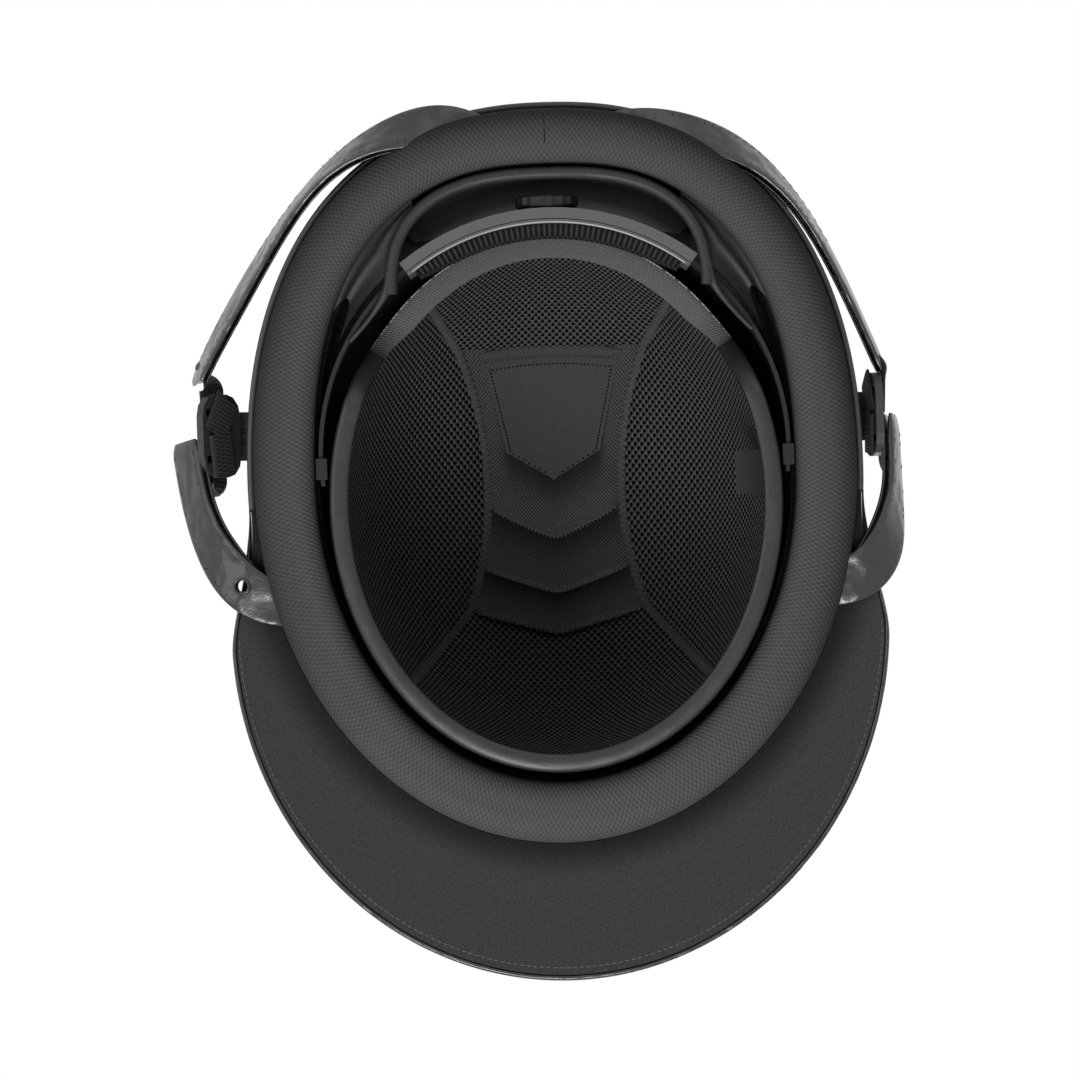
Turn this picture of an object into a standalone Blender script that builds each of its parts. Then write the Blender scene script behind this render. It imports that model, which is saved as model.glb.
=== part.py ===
"""Equestrian riding helmet with its harness folded up over the crown.

Frame: metres, +Z up to the crown, front towards -Y, wearer's left towards +X.
The ground plane z = 0 is the flat underside of the padded rim collar.
"""
import math

import bmesh
import bpy
from mathutils import Vector

# Clearances
GAP = 0.0003
SOFT_GAP = 0.0006
SLIDE_GAP = 0.0006
EDGE_GAP = 0.0008

# Comfort liner, the head size that the rest is built round
LINER_CENTRE = -0.0095
LINER_HALF_WIDTH = 0.0860
LINER_HALF_LENGTH = 0.1035
LINER_TOP = 0.1335
LINER_PAD = 0.0060
LINER_PAD_EDGE = 0.0032
LINER_EDGE = 0.0060
LINER_REAR_EDGE = 0.0360
LINER_RISE_START = 0.0280
LINER_RISE_END = 0.0640
GRIP_GAP = 0.0015
GRIP_REACH = 0.45
GRIP_SHARE = 0.10
SEAM = 0.0005
BINDING_WIDTH = 0.0060
BINDING_HEIGHT = 0.0044
TAPE_WIDTH = 0.0095
TAPE_HEIGHT = 0.0022
TAPE_CORNER = 0.0510

# Head opening, foam and padded collar
SIDE_ROOM = 0.0055
FRONT_ROOM = 0.0040
NAPE_ROOM = 0.0240
OPENING_HALF_WIDTH = LINER_HALF_WIDTH + SIDE_ROOM
OPENING_FRONT = LINER_HALF_LENGTH - LINER_CENTRE + FRONT_ROOM
OPENING_REAR = LINER_HALF_LENGTH + LINER_CENTRE + NAPE_ROOM
COLLAR_SIDE = 0.0244
COLLAR_FRONT = 0.0242
COLLAR_REAR = 0.0228
COLLAR_TOP = 0.0233
COLLAR_INNER_ROUND = 0.0075
COLLAR_OUTER_ROUND = 0.0085
CROWN_ROOM = 0.0025
FOAM_INNER_TOP = LINER_TOP + CROWN_ROOM
POCKET_TOP = 0.0340
POCKET_BLEND = 0.0180
CROWN_LEDGE = 0.0055
CROWN_FOAM = 0.0240

# Outer shell
SHELL_HALF_WIDTH = OPENING_HALF_WIDTH + COLLAR_SIDE
SHELL_FRONT = OPENING_FRONT + COLLAR_FRONT
SHELL_REAR = OPENING_REAR + COLLAR_REAR
SHELL_TOP = FOAM_INNER_TOP + CROWN_FOAM
SHELL_WALL = 0.0025
SHELL_EDGE = 0.0140
REAR_SQUARENESS = 2.3
OPENING_SQUARENESS = 2.5
DOME_FULLNESS = 2.3

# Rim trim and brim
TRIM_WALL = 0.0014
TRIM_HEIGHT = 0.0075
TRIM_LIP = 0.0012
BRIM_SIDE = 0.0093
BRIM_PEAK = 0.0507
BRIM_CENTRE = -0.0570
BRIM_HALF_WIDTH = SHELL_HALF_WIDTH + BRIM_SIDE
BRIM_LENGTH = SHELL_FRONT + BRIM_CENTRE + BRIM_PEAK
BRIM_START = -0.0095
BRIM_WING = 0.22
BRIM_DROP = 0.0080
BRIM_EDGE = 0.0026
BRIM_ROOT = 0.0075
BRIM_BEAD = 0.0018

# Crown pads and shield patch
STRIP_REAR = 0.0545
STRIP_FRONT = -0.0650
STRIP_FRONT_SLOPE = 0.30
STRIP_WAIST = 0.0285
STRIP_FLARE = 3.3
CHEVRONS = ((-0.0234, 0.47), (-0.0473, 0.36))
PATCH_TOP = 0.0495
PATCH_SHOULDER = 0.0133
PATCH_POINT = 0.0010
PATCH_HALF_TOP = 0.0280
PATCH_HALF_SHOULDER = 0.0210
PATCH_THICK = 0.0012
TAG_LENGTH = 0.0170
TAG_WIDTH = 0.0165
TAG_THICK = 0.0007
TAG_LEAN = 34.0
TAG_SPOT = -0.0010

# Fit cradle
FIT_ROOM = 0.0030
FIT_SETBACK = 0.0196
FIT_RADIUS = LINER_HALF_WIDTH + FIT_ROOM
FIT_CENTRE = OPENING_REAR - FIT_SETBACK - FIT_RADIUS
FIT_HEIGHT = 0.0150
HOUSING_ANGLE = 38.0
HOUSING_TALL = 0.0220
HOUSING_WALL = 0.0016
HOUSING_LIP = 0.0018
BAND_THICK = 0.0016
BAND_TALL = 0.0120
BAND_TIP_ANGLE = 97.0
CRADLE_PAD = 0.0045
CRADLE_PAD_ANGLE = 36.0
CRADLE_PAD_TALL = 0.0200
PINION_RADIUS = 0.0040
PINION_TEETH = 10
TOOTH_HALF_HEIGHT = 0.0007
BACKLASH = 0.0003
RACK_TAIL = 0.0085
FIT_TRAVEL = 0.0080
SHAFT_RADIUS = 0.0022
KNOB_RADIUS = 0.0120
KNOB_THICK = 0.0045
KNOB_GRIP = 0.0005
CLIP_LENGTH = 0.0080
CLIP_AHEAD = 0.0044
CLIP_CENTRE = FIT_CENTRE - CLIP_AHEAD
CLIP_WALL = 0.0008

# Nape pocket
NAPE_SIDE_ROOM = 0.0052
NAPE_DEPTH = 0.0480
NAPE_INSET = 0.0036
NAPE_HALF_WIDTH = FIT_RADIUS * math.sin(math.radians(HOUSING_ANGLE)) + NAPE_SIDE_ROOM
NAPE_FOOT = OPENING_REAR - NAPE_DEPTH
NAPE_APEX = OPENING_REAR - NAPE_INSET
NAPE_SQUARENESS = 2.6
NAPE_WALL = 0.0020
NAPE_WALL_TOP = 0.0300
NAPE_BEAD = 0.0046
NAPE_BEAD_HEIGHT = 0.0043
NAPE_WALL_SPAN = 62.0

# Harness
STRAP_WIDTH = 0.0180
STRAP_THICK = 0.0024
ANCHOR_WIDTH = 0.0140
ANCHOR_THICK = 0.0012
WEB_WIDTH = 0.0140
WEB_THICK = 0.0014
CHIN_WIDTH = 0.0190
CHIN_THICK = 0.0014
DIVIDER_LENGTH = 0.0320
DIVIDER_TALL = 0.0240
DIVIDER_THICK = 0.0030
DIVIDER_CORNER = 0.0085
DIVIDER_SLOT = 0.0030
DIVIDER_SPOT = 0.0195
DIVIDER_HEIGHT = 0.0270
EYELET_RADIUS = 0.0037
EYELET_HOLE = 0.0022
EYELET_WALL = 0.0005
EYELET_SHARE = 3.0 / 7.0
ANCHOR_SHARES = (0.01, 0.10)
POCKET_SOFTNESS = 0.05

# Buckle on the crown
BUCKLE_WIDTH = 0.0250
BUCKLE_TALL = 0.0080
SOCKET_LENGTH = 0.0280
INSERT_LENGTH = 0.0157
BUCKLE_MOUTH = -0.0040
BUCKLE_WALL = 0.0020
BAR_HALF = 0.0012
CROWN_CLEARANCE = 0.0008
ARM_THICK = 0.0026
ARM_INNER = 0.0060
ARM_LENGTH = 0.0175
ARM_BARB = 0.0029

# Facet counts
RIM_STEPS = 40
DOME_ROWS = 7
BRIM_STEPS = 32

LOOKS = {
    "shell": ((0.012, 0.012, 0.013), 0.55, 0.0),
    "rubber": ((0.010, 0.010, 0.010), 0.45, 0.0),
    "suede": ((0.028, 0.028, 0.030), 0.90, 0.0),
    "foam": ((0.020, 0.020, 0.021), 0.95, 0.0),
    "weave": ((0.022, 0.022, 0.024), 0.85, 0.0),
    "mesh": ((0.014, 0.014, 0.015), 0.90, 0.0),
    "jersey": ((0.010, 0.010, 0.011), 0.85, 0.0),
    "leather": ((0.014, 0.014, 0.015), 0.40, 0.0),
    "knit": ((0.075, 0.077, 0.080), 0.90, 0.0),
    "grey_plastic": ((0.090, 0.092, 0.095), 0.45, 0.0),
    "black_plastic": ((0.012, 0.012, 0.013), 0.35, 0.0),
    "webbing": ((0.015, 0.015, 0.016), 0.80, 0.0),
    "steel": ((0.30, 0.30, 0.31), 0.35, 1.0),
}


def clear_scene():
    """Start from an empty scene."""
    for old in list(bpy.data.objects):
        bpy.data.objects.remove(old, do_unlink=True)


def material_for(name, look):
    """Each piece has its own material."""
    colour, roughness, metallic = LOOKS[look]
    material = bpy.data.materials.new(name)
    material.use_nodes = True
    shader = material.node_tree.nodes["Principled BSDF"]
    shader.inputs["Base Color"].default_value = (*colour, 1.0)
    shader.inputs["Roughness"].default_value = roughness
    shader.inputs["Metallic"].default_value = metallic
    material.diffuse_color = (*colour, 1.0)
    return material


def finish_object(name, bm, look, pivot=None):
    """Turn a closed bmesh into a named, shaded object, with its origin on the pivot if it moves."""
    bmesh.ops.remove_doubles(bm, verts=bm.verts, dist=1e-7)
    bmesh.ops.recalc_face_normals(bm, faces=bm.faces)
    if pivot is not None:
        bmesh.ops.translate(bm, verts=bm.verts, vec=-Vector(pivot))
    mesh = bpy.data.meshes.new(name)
    bm.to_mesh(mesh)
    bm.free()
    mesh.shade_smooth()
    mesh.set_sharp_from_angle(angle=math.radians(40.0))
    piece = bpy.data.objects.new(name, mesh)
    bpy.context.scene.collection.objects.link(piece)
    if look is not None:
        mesh.materials.append(material_for(name, look))
    if pivot is not None:
        piece.location = pivot
    return piece


def loft(name, loops, look, closed=False, pivot=None):
    """Bridge a row of section loops, all with as many points, and cap the ends of an open row."""
    bm = bmesh.new()
    rings = [[bm.verts.new(point) for point in loop] for loop in loops]
    count = len(rings[0])
    pairs = list(zip(rings, rings[1:]))
    if closed:
        pairs.append((rings[-1], rings[0]))
    for ring, following in pairs:
        for i in range(count):
            j = (i + 1) % count
            bm.faces.new((ring[i], ring[j], following[j], following[i]))
    if not closed:
        bm.faces.new(rings[0])
        bm.faces.new(list(reversed(rings[-1])))
    return finish_object(name, bm, look, pivot)


def thick_sheet(name, outer, inner, look, closed=False, pole=False, pivot=None):
    """Close the space between two grids of points, row by row. A pole row meets in one point."""
    bm = bmesh.new()
    rows, cols = len(outer), len(outer[0])
    sides = []
    for grid in (outer, inner):
        body = [[bm.verts.new(point) for point in row] for row in (grid[:-1] if pole else grid)]
        if pole:
            tip = bm.verts.new(grid[-1][0])
            body.append([tip] * cols)
        sides.append(body)
    spans = cols if closed else cols - 1
    for body in sides:
        for i in range(rows - 1):
            for j in range(spans):
                k = (j + 1) % cols
                corners = [body[i][j], body[i][k], body[i + 1][k], body[i + 1][j]]
                bm.faces.new(list(dict.fromkeys(corners)))
    front, back = sides
    for i in [0] if pole else [0, rows - 1]:
        for j in range(spans):
            k = (j + 1) % cols
            bm.faces.new((front[i][j], front[i][k], back[i][k], back[i][j]))
    if not closed:
        for j in (0, cols - 1):
            for i in range(rows - 1):
                bm.faces.new((front[i][j], front[i + 1][j], back[i + 1][j], back[i][j]))
    return finish_object(name, bm, look, pivot)


def box(name, low, high, look, pivot=None):
    """A box between two corners."""
    low, high = Vector(low), Vector(high)
    bm = bmesh.new()
    bmesh.ops.create_cube(bm, size=1.0)
    bmesh.ops.scale(bm, verts=bm.verts, vec=high - low)
    bmesh.ops.translate(bm, verts=bm.verts, vec=(low + high) / 2)
    return finish_object(name, bm, look, pivot)


def combine(piece, tool, operation="DIFFERENCE"):
    """Cut a piece with a hidden tool, or join the tool to it."""
    tool.hide_render = True
    tool.display_type = "WIRE"
    modifier = piece.modifiers.new(tool.name, "BOOLEAN")
    modifier.operation = operation
    modifier.solver = "EXACT"
    modifier.object = tool


def bevel(piece, width):
    """Round the piece's sharp edges slightly."""
    modifier = piece.modifiers.new("edges", "BEVEL")
    modifier.width = width
    modifier.segments = 1
    modifier.limit_method = "ANGLE"
    modifier.angle_limit = math.radians(50.0)


def cylinder(name, start, end, radius, look, sides=20):
    """A round bar between two points."""
    start, end = Vector(start), Vector(end)
    axis = (end - start).normalized()
    side = axis.orthogonal().normalized()
    other = axis.cross(side)
    loops = []
    for centre in (start, end):
        turn = [math.tau * i / sides for i in range(sides)]
        loops.append([centre + radius * (math.cos(a) * side + math.sin(a) * other) for a in turn])
    return loft(name, loops, look)


def smooth(value):
    """Ease from 0 to 1."""
    value = min(max(value, 0.0), 1.0)
    return value * value * (3.0 - 2.0 * value)


def signed_power(value, power):
    return math.copysign(abs(value) ** power, value)


def plan(angle, half_width, front, rear, squareness):
    """Rim outline: an ellipse in front, a squarer curve at the rear."""
    cosine, sine = math.cos(angle), math.sin(angle)
    power = 2.0 / squareness if sine > 0 else 1.0
    reach = rear if sine > 0 else front
    return Vector((half_width * signed_power(cosine, power), reach * signed_power(sine, power), 0.0))


def rim(angle, outset=0.0):
    """A point of the shell's rim, moved straight out by outset on both half axes."""
    return plan(angle, SHELL_HALF_WIDTH + outset, SHELL_FRONT + outset, SHELL_REAR + outset,
                REAR_SQUARENESS)


def opening(angle):
    return plan(angle, OPENING_HALF_WIDTH, OPENING_FRONT, OPENING_REAR, OPENING_SQUARENESS)


def opening_side(y):
    """Half width of the head opening's facets at a distance behind its middle."""
    corners = [opening(angle) for angle in rim_angles()]
    for near, far in zip(corners, corners[1:] + corners[:1]):
        if near.x > 0 and near.y <= y < far.y:
            return near.lerp(far, (y - near.y) / (far.y - near.y)).x
    return 0.0


def dome_scale(share):
    """Width of the dome, as a share of its rim, at a share of its height."""
    return (1.0 - min(share, 1.0) ** DOME_FULLNESS) ** (1.0 / DOME_FULLNESS)


def dome_rows(first_share, count):
    """Shares of the dome's height for evenly spread rows up to the pole."""
    start = math.asin(first_share ** (DOME_FULLNESS / 2.0))
    turns = [start + (math.pi / 2.0 - start) * i / count for i in range(count + 1)]
    return [math.sin(turn) ** (2.0 / DOME_FULLNESS) for turn in turns]


def shell_rows():
    """Rows shared by the shell and the foam inside it, so that their facets stay parallel."""
    return dome_rows((foam_bottom() - SHELL_EDGE) / (SHELL_TOP - SHELL_EDGE), DOME_ROWS)


def foam_bottom():
    return COLLAR_TOP + GAP


def rim_angles():
    return [math.tau * i / RIM_STEPS for i in range(RIM_STEPS)]


def shell_grid(inset, rows):
    """Points of the shell's dome, moved in by inset."""
    grid = []
    for share in rows:
        height = SHELL_EDGE + (SHELL_TOP - inset - SHELL_EDGE) * share
        scale = dome_scale(share)
        grid.append([rim(a, -inset) * scale + Vector((0, 0, height)) for a in rim_angles()])
    return grid


def shell_height(x, y):
    """Height of the shell's outer face over a point of the plan."""
    power = REAR_SQUARENESS if y > 0 else 2.0
    reach = SHELL_REAR if y > 0 else SHELL_FRONT
    share = (abs(x / SHELL_HALF_WIDTH) ** power + abs(y / reach) ** power) ** (1.0 / power)
    return SHELL_EDGE + (SHELL_TOP - SHELL_EDGE) * dome_scale(share)


def make_shell():
    """Hard outer shell."""
    rows = [0.0] + shell_rows()
    thick_sheet("outer_shell", shell_grid(0.0, rows), shell_grid(SHELL_WALL, rows), "shell",
                closed=True, pole=True)


def foam_inner_grid(rows):
    """Inside of the foam: wide at the nape for the cradle, close round the liner above it."""
    grid = []
    middle = Vector((0.0, LINER_CENTRE, 0.0))
    for share in rows:
        height = FOAM_INNER_TOP * share
        blend = smooth((height - POCKET_TOP) / POCKET_BLEND)
        row = []
        for angle in rim_angles():
            above = (liner_outline(angle, CROWN_LEDGE) - middle) * dome_scale(share) + middle
            point = (opening(angle) * dome_scale(share)).lerp(above, blend)
            row.append(point + Vector((0, 0, height)))
        grid.append(row)
    return grid


def make_foam():
    """Expanded foam that takes the impact."""
    outer = shell_grid(SHELL_WALL + GAP, shell_rows())
    pocket = dome_rows((POCKET_TOP + POCKET_BLEND) / FOAM_INNER_TOP, DOME_ROWS - 2)
    inner = foam_inner_grid([foam_bottom() / FOAM_INNER_TOP, POCKET_TOP / FOAM_INNER_TOP] + pocket)
    thick_sheet("impact_liner", outer, inner, "foam", closed=True, pole=True)


def seam_height():
    """Underside of the trim and of the brim's root."""
    return SHELL_EDGE - GAP - TRIM_LIP


def trim_outset():
    return GAP + TRIM_WALL


def make_collar():
    """Padded ring that the helmet stands on, with a pocket for each strap root."""
    lip = SHELL_WALL - GAP
    loops = []
    for angle in rim_angles():
        inner, outer = opening(angle), rim(angle, -SHELL_WALL * 0.45)
        wall = rim(angle, -lip - 2 * GAP)
        out = (outer - inner).normalized()
        section = (
            (inner, COLLAR_TOP),
            (inner, COLLAR_INNER_ROUND),
            (inner + out * COLLAR_INNER_ROUND * 0.3, COLLAR_INNER_ROUND * 0.3),
            (inner + out * COLLAR_INNER_ROUND, 0.0),
            (outer - out * COLLAR_OUTER_ROUND, 0.0),
            (outer - out * COLLAR_OUTER_ROUND * 0.3, COLLAR_OUTER_ROUND * 0.4),
            (outer, COLLAR_OUTER_ROUND),
            (outer, SHELL_EDGE - GAP),
            (wall, SHELL_EDGE - GAP),
            (wall, COLLAR_TOP),
        )
        loops.append([point + Vector((0, 0, height)) for point, height in section])
    collar = loft("rim_collar", loops, "weave", closed=True)
    for strap in STRAPS:
        combine(collar, strap_pocket(strap))


def brim_end_angle():
    """Rim angle, in front of the wearer's left, where the brim begins."""
    return math.asin(BRIM_START / (SHELL_FRONT + trim_outset()))


def make_trim():
    """Rubber edging round the sides and rear of the shell's rim, from one brim end to the other."""
    joint = GAP / SHELL_HALF_WIDTH
    start = brim_end_angle() + joint
    end = math.pi - start
    steps = RIM_STEPS * 3 // 4
    loops = []
    for i in range(steps + 1):
        angle = start + (end - start) * i / steps
        low, top = seam_height(), SHELL_EDGE + TRIM_HEIGHT
        section = (
            (rim(angle, -SHELL_WALL * 0.25), low),
            (rim(angle, trim_outset() * 0.7), low),
            (rim(angle, trim_outset()), low + TRIM_LIP),
            (rim(angle, trim_outset()), top - TRIM_WALL / 2),
            (rim(angle, GAP) * dome_scale(TRIM_HEIGHT / SHELL_TOP), top),
            (rim(angle, GAP), SHELL_EDGE),
            (rim(angle, GAP), SHELL_EDGE - GAP),
            (rim(angle, -SHELL_WALL * 0.25), SHELL_EDGE - GAP),
        )
        loops.append([point + Vector((0, 0, height)) for point, height in section])
    loft("rim_trim", loops, "rubber")


def brim_stations():
    """For each step along the brim: rim angle, edge point in plan and how far the wing has opened."""
    half_rim = math.pi / 2.0 + brim_end_angle()
    half_edge = math.pi / 2.0 + math.asin((BRIM_START - BRIM_CENTRE) / BRIM_LENGTH)
    for i in range(BRIM_STEPS + 1):
        along = 2.0 * i / BRIM_STEPS - 1.0
        angle = -math.pi / 2.0 + along * half_rim
        turn = -math.pi / 2.0 + along * half_edge
        full = Vector((BRIM_HALF_WIDTH * math.cos(turn), BRIM_CENTRE + BRIM_LENGTH * math.sin(turn), 0))
        wing = smooth((1.0 - abs(along)) / BRIM_WING)
        edge = rim(angle, trim_outset() + BRIM_BEAD).lerp(full, wing)
        yield angle, edge, wing


def brim_drop(angle, edge, wing):
    """How far the brim's edge hangs below its root."""
    reach = (edge - rim(angle)).length
    longest = BRIM_LENGTH - BRIM_CENTRE - SHELL_FRONT
    return BRIM_DROP * wing * reach / longest


def make_brim():
    """Brim in one piece with the flange that holds it to the shell, and the bead round its edge."""
    loops, beads = [], []
    for angle, edge, wing in brim_stations():
        low = seam_height()
        drop = brim_drop(angle, edge, wing)
        under, root = rim(angle, -SHELL_WALL * 0.25), rim(angle, GAP)
        out = (edge - rim(angle)).normalized()
        lip = edge - out * (BRIM_BEAD + GAP)
        foot = SHELL_EDGE - GAP
        top = SHELL_EDGE + BRIM_ROOT
        section = (
            (under, low),
            (under.lerp(lip, 0.5), low - drop * 0.36),
            (lip, low - drop),
            (lip, low - drop + BRIM_EDGE),
            (root.lerp(lip, 0.5), low - drop * 0.36 + (BRIM_EDGE + TRIM_LIP + GAP + BRIM_ROOT) * 0.55),
            (root * dome_scale(BRIM_ROOT / SHELL_TOP), top),
            (root, SHELL_EDGE),
            (root, foot),
            (under, foot),
        )
        loops.append([point + Vector((0, 0, height)) for point, height in section])
        middle = edge - out * BRIM_BEAD / 2 + Vector((0, 0, low - drop + BRIM_EDGE / 2))
        tall = BRIM_EDGE * 0.65
        ring = []
        for j in range(6):
            turn = math.tau * (j + 0.5) / 6
            ring.append(middle + out * math.cos(turn) * BRIM_BEAD * 0.577
                        + Vector((0, 0, math.sin(turn) * tall)))
        beads.append(ring)
    loft("brim", loops, "suede")
    loft("brim_binding", beads, "leather")


def liner_outline(angle, outset=0.0):
    """Liner edge in plan, an ellipse about the middle of the head."""
    return Vector(((LINER_HALF_WIDTH + outset) * math.cos(angle),
                   LINER_CENTRE + (LINER_HALF_LENGTH + outset) * math.sin(angle), 0.0))


def liner_edge_height(angle):
    """Lower edge of the liner: low round the brow and ears, raised over the cradle at the nape."""
    y = liner_outline(angle).y
    rise = smooth((y - LINER_RISE_START) / (LINER_RISE_END - LINER_RISE_START))
    return LINER_EDGE + (LINER_REAR_EDGE - LINER_EDGE) * rise


def liner_point(angle, share, depth):
    """A point at a share of the liner's height, depth inside its outer face."""
    centre = Vector((0.0, LINER_CENTRE, 0.0))
    flat = (liner_outline(angle, -depth) - centre) * dome_scale(share) + centre
    return flat + Vector((0, 0, (LINER_TOP - depth) * share))


def liner_share(x, y):
    """Share of the liner's height over a point of the plan."""
    radius = math.hypot(x / LINER_HALF_WIDTH, (y - LINER_CENTRE) / LINER_HALF_LENGTH)
    return dome_scale(radius)


def strip_half_width(y):
    return STRIP_WAIST + STRIP_FLARE * (y - LINER_CENTRE * 0.2) ** 2


def in_strip(x, y, margin):
    """Whether a plan point lies on the crown strip, grown by margin."""
    front = STRIP_FRONT + STRIP_FRONT_SLOPE * abs(x)
    return abs(x) < strip_half_width(y) + margin and front - margin < y < STRIP_REAR + margin


def strip_share(angle, margin):
    """Share of the liner's height where a panel at this angle meets the crown strip."""
    inside, outside = 0.0, 1.0
    ray = liner_outline(angle) - Vector((0.0, LINER_CENTRE, 0.0))
    for _ in range(30):
        middle = (inside + outside) / 2.0
        if in_strip(ray.x * middle, LINER_CENTRE + ray.y * middle, margin):
            inside = middle
        else:
            outside = middle
    return dome_scale(inside)


def crown_depth(u, v):
    """Padded thickness: full in the middle, drawn in along the sewn edges."""
    swell = (1.0 - (2.0 * u - 1.0) ** 4) * (1.0 - (2.0 * v - 1.0) ** 4)
    return LINER_PAD_EDGE + (LINER_PAD - LINER_PAD_EDGE) * swell


def make_panel(name, start, end, cols, rows):
    """One mesh panel of the liner, from its lower edge up to the crown strip."""
    seam = SEAM / LINER_HALF_WIDTH
    first, last = math.radians(start) + seam, math.radians(end) - seam
    outer, inner = [], []
    for i in range(rows + 1):
        v = i / rows
        outer_row, inner_row = [], []
        for j in range(cols + 1):
            u = j / cols
            angle = first + (last - first) * u
            low = (liner_edge_height(angle) + EDGE_GAP) / (LINER_TOP - LINER_PAD_EDGE)
            high = strip_share(angle, SEAM)
            turn_low = math.asin(low ** (DOME_FULLNESS / 2.0))
            turn_high = math.asin(high ** (DOME_FULLNESS / 2.0))
            share = math.sin(turn_low + (turn_high - turn_low) * v) ** (2.0 / DOME_FULLNESS)
            outer_row.append(liner_point(angle, share, 0.0))
            inner_row.append(liner_point(angle, share, crown_depth(u, v)))
        outer.append(outer_row)
        inner.append(inner_row)
    thick_sheet(name, outer, inner, "mesh")


def edge_sweep(name, start, end, steps, width, height, look):
    """A soft edge strip just under the liner's lower edge."""
    loops = []
    for i in range(steps + 1):
        angle = math.radians(start + (end - start) * i / steps)
        middle = liner_outline(angle, -width / 2)
        out = (liner_outline(angle) - liner_outline(angle, -width)).normalized()
        level = liner_edge_height(angle) - height / 2
        ring = []
        for j in range(6):
            turn = math.tau * j / 6
            side = math.cos(turn) * width / 2
            lift = math.sin(turn) / math.sin(math.tau / 6) * height / 2
            ring.append(middle + out * side + Vector((0, 0, level + lift)))
        loops.append(ring)
    loft(name, loops, look)


def seam_angles():
    """Angles, in degrees, of the front and rear seams, which run out from the strip's corners."""
    x = STRIP_WAIST
    for _ in range(20):
        x = strip_half_width(STRIP_FRONT + STRIP_FRONT_SLOPE * x)
    corners = ((x, STRIP_FRONT + STRIP_FRONT_SLOPE * x), (strip_half_width(STRIP_REAR), STRIP_REAR))
    return [math.degrees(math.atan2((y - LINER_CENTRE) / LINER_HALF_LENGTH, x / LINER_HALF_WIDTH))
            for x, y in corners]


def tape_angle():
    return math.degrees(math.asin((TAPE_CORNER - LINER_CENTRE) / LINER_HALF_LENGTH))


def make_liner():
    """Mesh panels, edge binding, rear tape and the grips that hold the liner to the foam."""
    front, rear = seam_angles()
    make_panel("liner_left", front, rear, 14, 7)
    make_panel("liner_right", 180.0 - rear, 180.0 - front, 14, 7)
    make_panel("liner_front", -180.0 - front, front, 14, 6)
    make_panel("liner_rear", rear, 180.0 - rear, 12, 5)
    corner = tape_angle()
    joint = math.degrees(SEAM / LINER_HALF_WIDTH)
    edge_sweep("liner_binding", -180.0 - corner, corner, 48,
               BINDING_WIDTH, BINDING_HEIGHT, "leather")
    edge_sweep("liner_tape", corner + joint, 180.0 - corner - joint, 24, TAPE_WIDTH, TAPE_HEIGHT, "knit")
    make_crown_pads()
    make_grips()
    make_tag()


def pad_point(x, y, depth):
    """A point inside the liner's outer face, under a point of the plan."""
    angle = math.atan2((y - LINER_CENTRE) / LINER_HALF_LENGTH, x / LINER_HALF_WIDTH)
    return liner_point(angle, liner_share(x, y), depth)


def chevron_line(index, x):
    """Front edge, at x, of one crown pad; index -1 is the rear edge of the strip."""
    if index < 0:
        return STRIP_REAR
    if index < len(CHEVRONS):
        apex, slope = CHEVRONS[index]
    else:
        apex, slope = STRIP_FRONT, STRIP_FRONT_SLOPE
    return apex + slope * abs(x)


def crown_spot(index, u, v):
    """Plan point at the shares u across and v along one crown pad."""
    margin = SEAM / 2
    x = (2.0 * u - 1.0) * STRIP_WAIST
    for _ in range(8):
        rear = chevron_line(index - 1, x) - margin
        front = chevron_line(index, x) + margin
        y = rear + (front - rear) * v
        x = (2.0 * u - 1.0) * (strip_half_width(y) - margin)
    return x, y


def make_crown_pads():
    """Three padded steps of the crown strip, and the bare shield patch sewn on the rear one."""
    names = ("crown_pad_rear", "crown_pad_middle", "crown_pad_front")
    for index, name in enumerate(names):
        rows = 10 if index == 0 else 4
        outer, inner = [], []
        for i in range(rows + 1):
            v = i / rows
            spots = [crown_spot(index, j / 12, v) for j in range(13)]
            outer.append([pad_point(x, y, 0.0) for x, y in spots])
            inner.append([pad_point(x, y, crown_depth(j / 12, v)) for j, (x, y) in enumerate(spots)])
        thick_sheet(name, outer, inner, "jersey")
    make_patch()


def patch_half_width(y):
    """Half width of the shield at y: tapering sides, then straight edges to the point."""
    if y > PATCH_SHOULDER:
        share = (y - PATCH_SHOULDER) / (PATCH_TOP - PATCH_SHOULDER)
        return PATCH_HALF_SHOULDER + (PATCH_HALF_TOP - PATCH_HALF_SHOULDER) * share
    return PATCH_HALF_SHOULDER * (y - PATCH_POINT) / (PATCH_SHOULDER - PATCH_POINT)


def make_patch():
    """Shield patch, following the swell of the pad it is sewn to."""
    levels = [PATCH_TOP + (PATCH_SHOULDER - PATCH_TOP) * i / 5 for i in range(6)]
    levels += [PATCH_SHOULDER + (PATCH_POINT - PATCH_SHOULDER) * i / 3 for i in (1, 2)]
    levels.append(PATCH_POINT + SEAM)
    outer, inner = [], []
    for y in levels:
        outer_row, inner_row = [], []
        for j in range(9):
            x = (j / 4 - 1.0) * patch_half_width(y)
            u = 0.5 + 0.5 * x / strip_half_width(y)
            front = chevron_line(0, x)
            v = (STRIP_REAR - y) / (STRIP_REAR - front)
            depth = crown_depth(u, v) + SOFT_GAP
            outer_row.append(pad_point(x, y, depth))
            inner_row.append(pad_point(x, y, depth + PATCH_THICK))
        outer.append(outer_row)
        inner.append(inner_row)
    thick_sheet("shield_patch", outer, inner, "jersey")


def foam_inner_height(x, y):
    """Height of the foam's inside over a plan point near the crown."""
    radius = math.hypot(x / (LINER_HALF_WIDTH + CROWN_LEDGE),
                        (y - LINER_CENTRE) / (LINER_HALF_LENGTH + CROWN_LEDGE))
    return FOAM_INNER_TOP * dome_scale(radius)


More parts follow.
